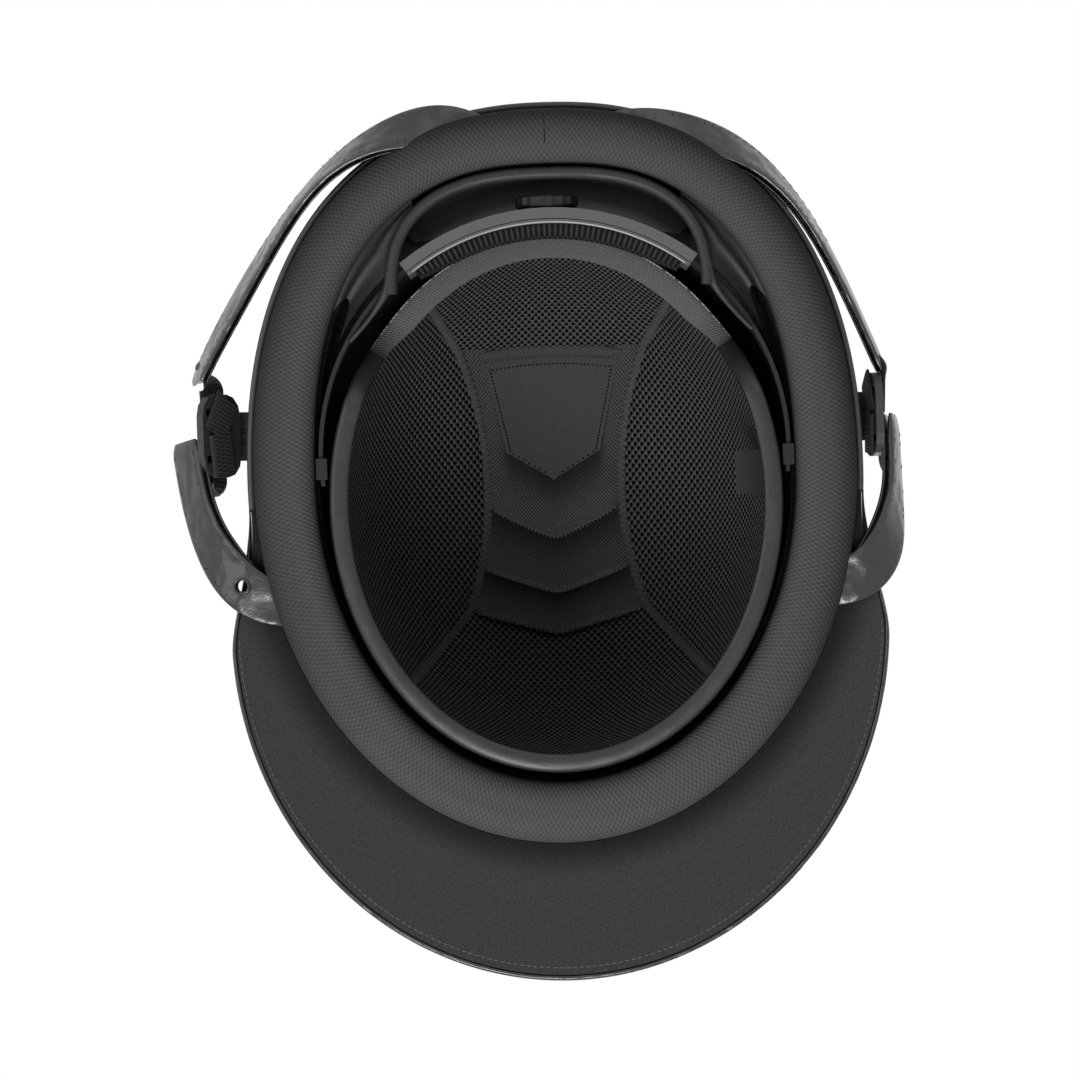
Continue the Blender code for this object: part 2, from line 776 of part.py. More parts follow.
def make_grips():
    """Hook-and-loop patches between liner and foam."""
    half = LINER_HALF_WIDTH * GRIP_SHARE
    spots = [(0.0, LINER_CENTRE)]
    for turn in (40.0, 140.0, 220.0, 320.0):
        spot = liner_outline(math.radians(turn)) - Vector((0, LINER_CENTRE, 0))
        spots.append((spot.x * GRIP_REACH, LINER_CENTRE + spot.y * GRIP_REACH))
    for number, (cx, cy) in enumerate(spots, start=1):
        outer, inner = [], []
        for i in range(5):
            y = cy + half * (i / 2 - 1.0)
            xs = [cx + half * (j / 2 - 1.0) for j in range(5)]
            outer.append([Vector((x, y, foam_inner_height(x, y) - GRIP_GAP)) for x in xs])
            inner.append([pad_point(x, y, 0.0) + Vector((0, 0, SOFT_GAP)) for x in xs])
        thick_sheet(f"liner_grip_{number}", outer, inner, "webbing")


def make_tag():
    """Small bare size tag standing off the wearer's right of the liner edge."""
    angle = math.pi - math.asin((TAG_SPOT - LINER_CENTRE) / LINER_HALF_LENGTH)
    foot = liner_point(angle, LINER_EDGE / LINER_TOP, LINER_PAD_EDGE + 2 * SOFT_GAP)
    foot.z = LINER_EDGE + 2 * SOFT_GAP
    lean = math.radians(TAG_LEAN)
    rise = Vector((math.sin(lean), 0.0, math.cos(lean))) * TAG_WIDTH
    thick = Vector((math.cos(lean), 0.0, -math.sin(lean))) * TAG_THICK
    outer, inner = [], []
    for i in range(3):
        spot = foot + rise * i / 2
        row = [spot + Vector((0, TAG_LENGTH * (j - 0.5), 0)) for j in (0, 1)]
        outer.append(row)
        inner.append([point + thick for point in row])
    thick_sheet("size_tag", outer, inner, "webbing")


def fit_point(angle, radius, height):
    """A point of the cradle's arc: angle from straight back, towards the wearer's left."""
    return Vector((radius * math.sin(angle), FIT_CENTRE + radius * math.cos(angle), height))


def fit_pivot():
    return Vector((0.0, FIT_CENTRE, FIT_HEIGHT))


def plate_inner():
    """Head-side radius of the housing's front plate."""
    return FIT_RADIUS - BAND_THICK / 2 - SLIDE_GAP - HOUSING_WALL


def cover_outer():
    return FIT_RADIUS + BAND_THICK / 2 + SLIDE_GAP + HOUSING_WALL


def make_cradle():
    """Two-part housing of the fit cradle and the pad on its head side."""
    low, high = FIT_HEIGHT - HOUSING_TALL / 2, FIT_HEIGHT + HOUSING_TALL / 2
    front = plate_inner() + HOUSING_WALL
    lip = front + GAP
    back = cover_outer() - HOUSING_WALL
    cover_section = (
        (lip, low), (cover_outer(), low), (cover_outer(), high), (lip, high),
        (lip, high - HOUSING_LIP), (back, high - HOUSING_LIP),
        (back, low + HOUSING_LIP), (lip, low + HOUSING_LIP),
    )
    plate_section = ((plate_inner(), low), (front, low), (front, high), (plate_inner(), high))
    span = math.radians(HOUSING_ANGLE)
    steps = 18
    turns = [span * (2.0 * i / steps - 1.0) for i in range(steps + 1)]
    cover = loft("cradle_cover", [[fit_point(a, r, z) for r, z in cover_section] for a in turns],
                 "grey_plastic", pivot=fit_pivot())
    plate = loft("cradle_plate", [[fit_point(a, r, z) for r, z in plate_section] for a in turns],
                 "grey_plastic", pivot=fit_pivot())
    for piece, radius in ((cover, SHAFT_RADIUS + SLIDE_GAP), (plate, SHAFT_RADIUS)):
        hole = cylinder(f"hole_{piece.name}", fit_point(0.0, plate_inner() - CRADLE_PAD / 2, FIT_HEIGHT),
                        fit_point(0.0, cover_outer() + KNOB_THICK, FIT_HEIGHT), radius, None)
        combine(piece, hole)
    make_cradle_pad()


def make_cradle_pad():
    """Comfort pad, swelling towards the head."""
    outer, inner = [], []
    seat = plate_inner() - GAP
    span = math.radians(CRADLE_PAD_ANGLE)
    for i in range(6):
        v = i / 5
        height = FIT_HEIGHT + CRADLE_PAD_TALL * (v - 0.5)
        outer_row, inner_row = [], []
        for j in range(19):
            u = j / 18
            angle = span * (2.0 * u - 1.0)
            swell = (1.0 - (2.0 * u - 1.0) ** 6) * (1.0 - (2.0 * v - 1.0) ** 4)
            outer_row.append(fit_point(angle, seat, height))
            inner_row.append(fit_point(angle, seat - CRADLE_PAD * (0.55 + 0.45 * swell), height))
        outer.append(outer_row)
        inner.append(inner_row)
    thick_sheet("cradle_pad", outer, inner, "knit", pivot=fit_pivot())


def tooth_pitch():
    return math.tau * PINION_RADIUS / PINION_TEETH


def rack_profile(side):
    """Corners of the rack's teeth along the arc: distance from the pinion and height off its axis."""
    pitch = tooth_pitch()
    half = pitch / 4 - BACKLASH / 2
    slope = TOOTH_HALF_HEIGHT * math.tan(math.radians(20.0))
    before = int(RACK_TAIL / pitch)
    after = before + int(FIT_TRAVEL / pitch)
    corners = []
    for i in range(1 - before, after + 1):
        middle = (i - 0.5) * pitch
        corners += [
            (middle - half - slope, PINION_RADIUS + TOOTH_HALF_HEIGHT + BACKLASH),
            (middle - half + slope, PINION_RADIUS - TOOTH_HALF_HEIGHT + BACKLASH),
            (middle + half - slope, PINION_RADIUS - TOOTH_HALF_HEIGHT + BACKLASH),
            (middle + half + slope, PINION_RADIUS + TOOTH_HALF_HEIGHT + BACKLASH),
        ]
    start = [(-RACK_TAIL, PINION_RADIUS + TOOTH_HALF_HEIGHT + BACKLASH)]
    return [(side * along, height) for along, height in start + corners]


def make_band(name, side):
    """Side band: a rack inside the housing, running round to the clip beside the liner."""
    inner, outer = FIT_RADIUS - BAND_THICK / 2, FIT_RADIUS + BAND_THICK / 2
    edge = BAND_TALL / 2
    outline = rack_profile(side)
    tip = side * math.radians(BAND_TIP_ANGLE)
    columns = [(along / FIT_RADIUS, side * height, side * edge) for along, height in outline]
    steps = 20
    shoulder = side * (RACK_TAIL + 2 * FIT_TRAVEL + HOUSING_WALL) / FIT_RADIUS
    columns.append((shoulder, columns[-1][1], side * edge))
    for i in range(steps + 1):
        columns.append((shoulder + (tip - shoulder) * i / steps, -side * edge, side * edge))
    loops = []
    for angle, low, high in columns:
        loops.append([
            fit_point(angle, inner, FIT_HEIGHT + low), fit_point(angle, outer, FIT_HEIGHT + low),
            fit_point(angle, outer, FIT_HEIGHT + high), fit_point(angle, inner, FIT_HEIGHT + high),
        ])
    loft(name, loops, "black_plastic", pivot=fit_pivot())


def make_pinion():
    """Pinion with its stub in the front plate and its shaft through the cover into the knob."""
    gear, stub, shaft = [], [], []
    half = 0.25 - BACKLASH / tooth_pitch() / 2
    root, tip = half * 1.25, half * 0.55
    for i in range(PINION_TEETH):
        for offset, reach in ((-root, -1.0), (-tip, 1.0), (tip, 1.0), (root, -1.0)):
            turn = math.pi / 2 + math.tau * (i + offset) / PINION_TEETH
            gear.append((turn, PINION_RADIUS + reach * TOOTH_HALF_HEIGHT))
    for turn, _ in gear:
        stub.append((turn, SHAFT_RADIUS - 2 * GAP))
        shaft.append((turn, SHAFT_RADIUS))
    front = FIT_CENTRE + FIT_RADIUS - BAND_THICK / 2
    stations = (
        (FIT_CENTRE + plate_inner() + GAP, stub), (front, stub), (front, gear), (front + BAND_THICK, gear),
        (front + BAND_THICK, shaft), (knob_face() + KNOB_THICK * 0.6, shaft),
    )
    loops = []
    for y, profile in stations:
        loops.append([Vector((r * math.cos(t), y, FIT_HEIGHT + r * math.sin(t))) for t, r in profile])
    loft("dial_pinion", loops, "black_plastic", pivot=(0.0, knob_face(), FIT_HEIGHT))


def knob_face():
    """Front face of the knob, just behind the housing."""
    return FIT_CENTRE + cover_outer() + SOFT_GAP


def make_knob():
    """Dial knob with a gripped edge, on the pinion's shaft."""
    points = 36
    loops = []
    for share, scale in ((0.0, 0.94), (0.15, 1.0), (0.8, 1.0), (1.0, 0.9)):
        ring = []
        for i in range(points):
            turn = math.tau * i / points
            radius = scale * (KNOB_RADIUS - (KNOB_GRIP if i % 2 else 0.0))
            ring.append(Vector((radius * math.cos(turn), knob_face() + KNOB_THICK * share,
                                FIT_HEIGHT + radius * math.sin(turn))))
        loops.append(ring)
    knob = loft("dial_knob", loops, "black_plastic", pivot=(0.0, knob_face(), FIT_HEIGHT))
    bore = cylinder("hole_knob", (0.0, knob_face() - KNOB_THICK, FIT_HEIGHT),
                    (0.0, knob_face() + KNOB_THICK * 0.6 + GAP, FIT_HEIGHT), SHAFT_RADIUS + GAP, None)
    combine(knob, bore)


def make_clip(name, side):
    """Loop on the collar's inside that guides the end of a side band."""
    middle = math.sqrt(FIT_RADIUS ** 2 - (CLIP_CENTRE - FIT_CENTRE) ** 2)
    room = BAND_THICK / 2 + SLIDE_GAP
    tall = BAND_TALL / 2 + SLIDE_GAP
    start, end = CLIP_CENTRE - CLIP_LENGTH / 2, CLIP_CENTRE + CLIP_LENGTH / 2
    near, far = middle - room - CLIP_WALL, min(opening_side(start), opening_side(end)) - GAP
    outer = box(name, (min(side * near, side * far), start, FIT_HEIGHT - tall - CLIP_WALL),
                (max(side * near, side * far), end, FIT_HEIGHT + tall + CLIP_WALL), "black_plastic")
    low, high = sorted((side * (middle - room), side * (middle + room)))
    window = box(f"window_{name}", (low, start - CLIP_LENGTH, FIT_HEIGHT - tall),
                 (high, end + CLIP_LENGTH, FIT_HEIGHT + tall), None)
    combine(outer, window)


def nape_point(turn):
    """Line of the nape pocket in plan; turn 0 is its rear-most point, +-90 its feet."""
    power = 2.0 / NAPE_SQUARENESS
    return Vector((NAPE_HALF_WIDTH * signed_power(math.sin(turn), power),
                   NAPE_FOOT + (NAPE_APEX - NAPE_FOOT) * signed_power(math.cos(turn), power), 0.0))


def nape_normal(turn):
    step = 0.01
    low, high = max(turn - step, -math.pi / 2), min(turn + step, math.pi / 2)
    along = nape_point(high) - nape_point(low)
    return Vector((-along.y, along.x, 0.0)).normalized()


def make_nape():
    """Leatherette wall behind the cradle, and the bound edge that carries on past its ends."""
    span = math.radians(NAPE_WALL_SPAN)
    bottom = NAPE_BEAD_HEIGHT + NAPE_BEAD / 2 + GAP
    outer, inner = [], []
    for height in (bottom, (bottom + NAPE_WALL_TOP) / 2, NAPE_WALL_TOP):
        turns = [span * (i / 10 - 1.0) for i in range(21)]
        lift = Vector((0, 0, height))
        outer.append([nape_point(t) + nape_normal(t) * NAPE_WALL / 2 + lift for t in turns])
        inner.append([nape_point(t) - nape_normal(t) * NAPE_WALL / 2 + lift for t in turns])
    thick_sheet("nape_wall", outer, inner, "leather")
    loops = []
    for i in range(33):
        turn = math.radians(90.0) * (i / 16 - 1.0)
        out = nape_normal(turn)
        ring = []
        for j in range(6):
            a = math.tau * j / 6
            ring.append(nape_point(turn) + out * math.cos(a) * NAPE_BEAD / 2
                        + Vector((0, 0, NAPE_BEAD_HEIGHT + math.sin(a) * NAPE_BEAD / 2)))
        loops.append(ring)
    loft("nape_binding", loops, "leather")


# Strap routes: rim angle in degrees, distance outside the trim, height over the trim's underside,
# and tilt of the strap's width from level to upright. Each starts in its pocket in the collar.
STRAPS = {
    "strap_rear_left": (
        (80.0, -0.0135, -0.0005, 0.0), (76.0, -0.0080, -0.0030, 4.0), (71.0, -0.0030, -0.0048, 18.0),
        (62.0, 0.0024, -0.0030, 40.0), (54.5, 0.0062, 0.0020, 62.0), (45.0, 0.0076, 0.0080, 76.0),
        (36.0, 0.0082, 0.0105, 73.0), (25.0, 0.0120, 0.0130, 68.0), (14.0, 0.0205, 0.0145, 69.0),
    ),
    "strap_rear_right": (
        (100.0, -0.0135, -0.0005, 0.0), (104.0, -0.0080, -0.0030, 4.0), (109.0, -0.0036, -0.0048, 18.0),
        (118.0, 0.0012, -0.0030, 40.0), (126.0, 0.0046, 0.0020, 64.0), (135.0, 0.0043, 0.0080, 82.0),
        (144.0, 0.0038, 0.0105, 85.0), (154.0, 0.0040, 0.0130, 84.0), (164.5, 0.0070, 0.0145, 82.0),
    ),
    "strap_front_left": (
        (-20.5, -0.0150, -0.0005, 0.0), (-19.6, -0.0070, -0.0030, 0.0), (-17.8, 0.0025, -0.0045, 0.0),
        (-15.0, 0.0072, -0.0042, 8.0), (-12.5, 0.0110, -0.0015, 25.0), (-8.8, 0.0156, 0.0040, 42.0),
        (-5.2, 0.0187, 0.0085, 52.0), (-1.0, 0.0210, 0.0120, 54.0),
    ),
    "strap_front_right": (
        (200.0, -0.0150, -0.0005, 0.0), (199.0, -0.0070, -0.0030, 0.0), (197.4, 0.0030, -0.0048, 3.0),
        (194.0, 0.0084, -0.0030, 22.0), (189.7, 0.0112, 0.0025, 52.0), (185.4, 0.0123, 0.0085, 70.0),
        (182.8, 0.0122, 0.0115, 74.0),
    ),
}
SPAN_STEPS = 3
REAR_POCKET_STEPS = 4
REAR_POCKET_ROOM = 0.0012
FRONT_POCKET_STEPS = 2
FRONT_POCKET_ROOM = 0.0009


def rim_station(angle, outset, height):
    """A point beside the trim, measured straight out from it."""
    turn = math.radians(angle)
    step = 0.002
    along = rim(turn + step, trim_outset()) - rim(turn - step, trim_outset())
    out = Vector((along.y, -along.x, 0.0)).normalized()
    return rim(turn, trim_outset()) + out * outset + Vector((0, 0, seam_height() + height))


def blend_points(points, share):
    """Smooth curve through a list of vectors or numbers, at a share of its length."""
    spans = len(points) - 1
    place = min(max(share, 0.0), 1.0) * spans
    i = min(int(place), spans - 1)
    t = place - i
    before = points[i - 1] if i > 0 else points[0] * 2 - points[1]
    after = points[i + 2] if i + 2 <= spans else points[spans] * 2 - points[spans - 1]
    start, end = points[i], points[i + 1]
    return 0.5 * (start * 2 + (end - before) * t + (before * 2 - start * 5 + end * 4 - after) * t * t
                  + (start * 3 - before - end * 3 + after) * t * t * t)


def strap_frame(route, share):
    """Middle of a strap with its direction, width and face directions."""
    points = [rim_station(angle, outset, height) for angle, outset, height, _ in route]
    tilts = [tilt for _, _, _, tilt in route]
    step = 0.01
    spot = blend_points(points, share)
    along = (blend_points(points, share + step) - blend_points(points, share - step)).normalized()
    level = Vector((along.y, -along.x, 0.0)).normalized()
    if level.dot(spot) < 0:
        level = -level
    tilt = math.radians(blend_points(tilts, share))
    across = level * math.cos(tilt) + Vector((0, 0, 1)) * math.sin(tilt)
    across = (across - along * across.dot(along)).normalized()
    return spot, along, across, along.cross(across).normalized()


def band_loop(spot, across, face, width, thick, lift=0.0, softness=0.45):
    """Section of a flat strap with softened edges."""
    corner = thick * softness
    half, deep = width / 2, thick / 2
    outline = (
        (half, -deep + corner), (half, deep - corner), (half - corner, deep), (-half + corner, deep),
        (-half, deep - corner), (-half, -deep + corner), (-half + corner, -deep), (half - corner, -deep),
    )
    return [spot + across * a + face * (f + lift) for a, f in outline]


def strap_loops(route, first, last, samples, width, thick, lift=0.0, softness=0.45):
    """Sections of a strap between two shares of its route, lifted off its middle on the root's top side."""
    loops = []
    flip = math.copysign(1.0, strap_frame(route, 0.0)[3].z)
    for i in range(samples + 1):
        share = first + (last - first) * i / samples
        spot, _, across, face = strap_frame(route, share)
        loops.append(band_loop(spot, across, face * flip, width, thick, lift, softness))
    return loops


def strap_pocket(name):
    """Cutter for the strap's root and its anchor plate."""
    tall = STRAP_THICK + ANCHOR_THICK + GAP
    lift = (tall - STRAP_THICK) / 2
    route = STRAPS[name]
    rear = "rear" in name
    spans = REAR_POCKET_STEPS if rear else FRONT_POCKET_STEPS
    room = REAR_POCKET_ROOM if rear else FRONT_POCKET_ROOM
    loops = strap_loops(route, 0.0, spans / (len(route) - 1), spans * SPAN_STEPS,
                        STRAP_WIDTH + 2 * room, tall + 2 * room, lift, POCKET_SOFTNESS)
    back = strap_frame(route, 0.0)[1] * 2 * GAP
    loops[0] = [point - back for point in loops[0]]
    ahead = strap_frame(route, spans / (len(route) - 1))[1] * STRAP_THICK
    loops.append([point + ahead for point in loops[-1]])
    return loft(f"pocket_{name}", loops, None)


def make_straps():
    """Leatherette straps, each with its anchor plate in the collar."""
    for name, route in STRAPS.items():
        samples = SPAN_STEPS * (len(route) - 1)
        strap = loft(name, strap_loops(route, 0.0, 1.0, samples, STRAP_WIDTH, STRAP_THICK), "leather")
        lift = (STRAP_THICK + ANCHOR_THICK) / 2 + GAP
        loft(name.replace("strap", "anchor"),
             strap_loops(route, *ANCHOR_SHARES, 3, ANCHOR_WIDTH, ANCHOR_THICK, lift), "steel")
        if name == "strap_front_left":
            make_eyelet(strap, route)


def make_eyelet(strap, route):
    """Metal eyelet through the strap."""
    spot, _, across, face = strap_frame(route, EYELET_SHARE)
    reach = STRAP_THICK / 2 + SOFT_GAP + EYELET_WALL
    barrel = EYELET_HOLE + EYELET_WALL
    hole = cylinder("hole_eyelet", spot - face * reach * 3, spot + face * reach * 3, barrel + GAP, None)
    combine(strap, hole)
    section = (
        (EYELET_HOLE, -reach), (EYELET_RADIUS, -reach), (EYELET_RADIUS, EYELET_WALL - reach),
        (barrel, EYELET_WALL - reach), (barrel, reach - EYELET_WALL), (EYELET_RADIUS, reach - EYELET_WALL),
        (EYELET_RADIUS, reach), (EYELET_HOLE, reach),
    )
    side = across.cross(face)
    loops = []
    for i in range(16):
        turn = math.tau * i / 16
        out = across * math.cos(turn) + side * math.sin(turn)
        loops.append([spot + out * r + face * h for r, h in section])
    loft("strap_eyelet", loops, "steel", closed=True)


# Divider plates: distance of the plate's middle outside the trim, and lean of its top to the shell.
DIVIDERS = {"left": (0.0113, 32.0), "right": (0.0059, 6.0)}


def divider_frame(side_name):
    """Middle, up and outward directions of a divider plate."""
    side = 1.0 if side_name == "left" else -1.0
    outset, lean = DIVIDERS[side_name]
    turn = math.radians(lean)
    middle = Vector((side * (SHELL_HALF_WIDTH + trim_outset() + outset), DIVIDER_SPOT, DIVIDER_HEIGHT))
    up = Vector((-side * math.sin(turn), 0.0, math.cos(turn)))
    out = Vector((side * math.cos(turn), 0.0, math.sin(turn)))
    return side, middle, up, out


def make_divider(side_name):
    """Plate with three slots where the straps of one side meet."""
    _, middle, up, out = divider_frame(side_name)
    back = Vector((0, 1, 0))
    half_long, half_tall = DIVIDER_LENGTH / 2 - DIVIDER_CORNER, DIVIDER_TALL / 2 - DIVIDER_CORNER
    outline = []
    for quarter, (sy, sz) in enumerate(((1, 1), (-1, 1), (-1, -1), (1, -1))):
        for i in range(4):
            turn = math.pi / 2 * (quarter + i / 3)
            outline.append((sy * half_long + DIVIDER_CORNER * math.cos(turn),
                            sz * half_tall + DIVIDER_CORNER * math.sin(turn)))
    loops = []
    for depth in (-DIVIDER_THICK / 2, DIVIDER_THICK / 2):
        loops.append([middle + back * a + up * b + out * depth for a, b in outline])
    plate = loft(f"divider_{side_name}", loops, "black_plastic")
    slit = DIVIDER_SLOT / 2
    low, tall = -0.15 * DIVIDER_TALL, 0.26 * DIVIDER_TALL
    slots = (
        ("rear", half_long + slit, low, slit, tall),
        ("front", -half_long - slit, low, slit, tall),
        ("top", 0.0, half_tall + slit, CHIN_WIDTH / 2 + GAP, slit),
    )
    for label, a, b, half_a, half_b in slots:
        loops = []
        for depth in (-DIVIDER_THICK, DIVIDER_THICK):
            corners = ((half_a, half_b), (-half_a, half_b), (-half_a, -half_b), (half_a, -half_b))
            loops.append([middle + back * (a + p) + up * (b + q) + out * depth for p, q in corners])
        combine(plate, loft(f"slot_{side_name}_{label}", loops, None))


def make_web(side_name, end_name):
    """Webbing from a strap's end onto the outer face of the divider."""
    side, middle, up, out = divider_frame(side_name)
    spot, along, across, _ = strap_frame(STRAPS[f"strap_{end_name}_{side_name}"], 1.0)
    direction = 1.0 if end_name == "rear" else -1.0
    seat = DIVIDER_THICK / 2 + GAP + WEB_THICK / 2
    points = [
        spot + along * (GAP + WEB_THICK / 2),
        middle + Vector((0, direction * DIVIDER_LENGTH * 0.60, 0)) + out * (seat + 3 * SOFT_GAP),
        middle + Vector((0, direction * DIVIDER_LENGTH * 0.40, 0)) + out * (seat + SOFT_GAP),
        middle + Vector((0, direction * SOFT_GAP, 0)) + out * seat,
    ]
    widths = [across, up, up, up]
    loops = []
    samples = 9
    for i in range(samples + 1):
        share = i / samples
        place = blend_points(points, share)
        step = 0.01
        ahead = (blend_points(points, share + step) - blend_points(points, share - step)).normalized()
        wide = blend_points(widths, share)
        wide = (wide - ahead * wide.dot(ahead)).normalized()
        loops.append(band_loop(place, wide, ahead.cross(wide), WEB_WIDTH, WEB_THICK))
    loft(f"web_{end_name}_{side_name}", loops, "webbing")


def buckle_height():
    """Middle height of the buckle, clear of the crown."""
    return shell_height(0.0, DIVIDER_SPOT) + CROWN_CLEARANCE + BUCKLE_TALL / 2


def loop_radius():
    """Radius of the webbing's middle round a buckle bar."""
    return BAR_HALF * math.sqrt(2.0) + GAP + CHIN_THICK / 2


def bar_place(side):
    """Middle of the buckle bar on one side: the socket's on the left, the insert's on the right."""
    if side > 0:
        return BUCKLE_MOUTH + SOCKET_LENGTH - BAR_HALF
    return BUCKLE_MOUTH - GAP - INSERT_LENGTH + BAR_HALF


def make_chin_strap(side_name):
    """Chin strap half, from its divider up over the shell and round its buckle bar."""
    side, middle, up, out = divider_frame(side_name)
    bar = abs(bar_place(side))
    level, radius = buckle_height(), loop_radius()
    lift = CROWN_CLEARANCE + CHIN_THICK / 2
    edge = DIVIDER_SPOT - CHIN_WIDTH / 2
    start = middle + up * (WEB_WIDTH / 2 + SOFT_GAP) + out * (DIVIDER_THICK / 2 + GAP + CHIN_THICK / 2)
    path = [(abs(start.x), start.z), (abs(start.x + up.x * DIVIDER_TALL * 0.35),
                                     start.z + up.z * DIVIDER_TALL * 0.35)]
    for share in (0.985, 0.95, 0.885, 0.79, 0.67, 0.53):
        x = SHELL_HALF_WIDTH * share
        slope = (shell_height(x + GAP, edge) - shell_height(x - GAP, edge)) / (2 * GAP)
        normal = Vector((-slope, 1.0)).normalized()
        path.append((x + normal.x * lift, shell_height(x, edge) + normal.y * lift))
    path += [(bar + CHIN_WIDTH * 0.6, level - radius - CHIN_THICK), (bar + CHIN_THICK * 2, level - radius)]
    points = [Vector((x, 0.0, z)) for x, z in path]
    count = 2 * (len(points) - 1)
    run = [blend_points(points, i / count) for i in range(count + 1)]
    for i in range(7):
        turn = math.pi * i / 6
        run.append(Vector((bar - radius * math.sin(turn), 0.0, level - radius * math.cos(turn))))
    run.append(Vector((bar + CHIN_WIDTH * 0.55, 0.0, level + radius)))
    loops = []
    for i, place in enumerate(run):
        ahead = (run[min(i + 1, len(run) - 1)] - run[max(i - 1, 0)]).normalized()
        face = Vector((-ahead.z, 0.0, ahead.x))
        spot = Vector((side * place.x, DIVIDER_SPOT, place.z))
        facing = Vector((side * face.x, 0.0, face.z))
        loops.append(band_loop(spot, Vector((0, 1, 0)), facing, CHIN_WIDTH, CHIN_THICK))
    loft(f"chin_strap_{side_name}", loops, "webbing")


def bar_cutters(piece, side, inner, outer):
    """Open a buckle part round its bar, so that the webbing can pass over and under it."""
    level = buckle_height()
    rail = CHIN_WIDTH / 2 + SOFT_GAP
    beyond = BUCKLE_WALL
    low_x, high_x = sorted((side * inner, side * (outer + beyond)))
    for label, low, high in (("over", BAR_HALF, BUCKLE_TALL), ("under", -BUCKLE_TALL, -BAR_HALF)):
        tool = box(f"{label}_{piece.name}", (low_x, DIVIDER_SPOT - rail, level + low),
                   (high_x, DIVIDER_SPOT + rail, level + high), None)
        combine(piece, tool)
    low_x, high_x = sorted((side * inner, side * (outer - 2 * BAR_HALF)))
    tool = box(f"slot_{piece.name}", (low_x, DIVIDER_SPOT - rail, level - BUCKLE_TALL),
               (high_x, DIVIDER_SPOT + rail, level + BUCKLE_TALL), None)
    combine(piece, tool)


def make_socket():
    """Buckle socket: a mouth for the insert, windows for its arms and a bar for the left strap."""
    level, half = buckle_height(), BUCKLE_WIDTH / 2
    end = BUCKLE_MOUTH + SOCKET_LENGTH
    socket = box("buckle_socket", (BUCKLE_MOUTH, DIVIDER_SPOT - half, level - BUCKLE_TALL / 2),
                 (end, DIVIDER_SPOT + half, level + BUCKLE_TALL / 2), "black_plastic")
    bevel(socket, BUCKLE_WALL * 0.4)
    slot = end - 2 * BAR_HALF - CHIN_THICK - 3 * SOFT_GAP
    mouth_end = slot - BUCKLE_WALL
    cavity_half = half - BUCKLE_WALL
    cavity_tall = BUCKLE_TALL / 2 - BUCKLE_WALL
    mouth = box("socket_mouth",
                (BUCKLE_MOUTH - BUCKLE_WALL, DIVIDER_SPOT - cavity_half, level - cavity_tall),
                (mouth_end, DIVIDER_SPOT + cavity_half, level + cavity_tall), None)
    combine(socket, mouth)
    start, stop = barb_span()
    window = box("socket_window",
                 (start - SOFT_GAP, DIVIDER_SPOT - half * 2, level - cavity_tall + GAP),
                 (stop + SOFT_GAP, DIVIDER_SPOT + half * 2, level + cavity_tall - GAP), None)
    combine(socket, window)
    bar_cutters(socket, 1.0, slot, end)


def barb_span():
    """Where the barbs stand along the socket."""
    start = BUCKLE_MOUTH + ARM_LENGTH * 0.5
    return start, start + ARM_LENGTH * 0.32


def make_insert():
    """Buckle insert: a base with the right strap's bar, and a guide tongue."""
    level, half = buckle_height(), BUCKLE_WIDTH / 2
    face = BUCKLE_MOUTH - GAP
    end = face - INSERT_LENGTH
    insert = box("buckle_insert", (end, DIVIDER_SPOT - half, level - BUCKLE_TALL / 2),
                 (face, DIVIDER_SPOT + half, level + BUCKLE_TALL / 2), "black_plastic",
                 pivot=insert_pivot())
    bevel(insert, BUCKLE_WALL * 0.4)
    deep = BUCKLE_WALL * 0.8
    tongue = box("insert_tongue", (face - BUCKLE_WALL, DIVIDER_SPOT - BUCKLE_WALL, level - deep),
                 (BUCKLE_MOUTH + ARM_LENGTH * 0.8, DIVIDER_SPOT + BUCKLE_WALL, level + deep), None)
    combine(insert, tongue, "UNION")
    slot = -end - 2 * BAR_HALF - CHIN_THICK - 3 * SOFT_GAP
    bar_cutters(insert, -1.0, slot, -end)


def insert_pivot():
    return Vector((BUCKLE_MOUTH, DIVIDER_SPOT, buckle_height()))


def make_arm(name, side):
    """Sprung arm of the insert, with a barb that stands in the socket's window."""
    level = buckle_height()
    tall = BUCKLE_TALL / 2 - BUCKLE_WALL - 2 * GAP
    start, stop = barb_span()
    outer = ARM_INNER + ARM_THICK
    root = BUCKLE_MOUTH
    outline = (
        (root, ARM_INNER), (root + ARM_LENGTH, ARM_INNER), (root + ARM_LENGTH, outer - ARM_THICK * 0.4),
        (stop, outer + ARM_BARB * 0.5), (start + (stop - start) * 0.4, outer + ARM_BARB),
        (start, outer + ARM_BARB), (start, outer), (root, outer),
    )
    loops = []
    for height in (level - tall, level + tall):
        loops.append([Vector((x, DIVIDER_SPOT + side * y, height)) for x, y in outline])
    pivot = (root, DIVIDER_SPOT + side * (ARM_INNER + ARM_THICK / 2), level)
    loft(name, loops, "black_plastic", pivot=pivot)


def build():
    clear_scene()
    make_shell()
    make_foam()
    make_collar()
    make_trim()
    make_brim()
    make_liner()
    make_cradle()
    make_pinion()
    make_knob()
    make_nape()
    make_straps()
    for side_name, side in (("left", 1.0), ("right", -1.0)):
        make_band(f"side_band_{side_name}", side)
        make_clip(f"band_clip_{side_name}", side)
        make_divider(side_name)
        for end_name in ("front", "rear"):
            make_web(side_name, end_name)
        make_chin_strap(side_name)
    make_socket()
    make_insert()
    for side_name, side in (("rear", 1.0), ("front", -1.0)):
        make_arm(f"buckle_arm_{side_name}", side)


build()
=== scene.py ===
# %% [markdown]
# # Riding helmet, seen from straight below
#
# The helmet hangs over the camera as in the photo: nape at the top, brim at the bottom.
# The hard parts come from the CAD model and only get a finish.
# Everything that is soft, sewn or covered is modelled again here, smoother and with its seams.

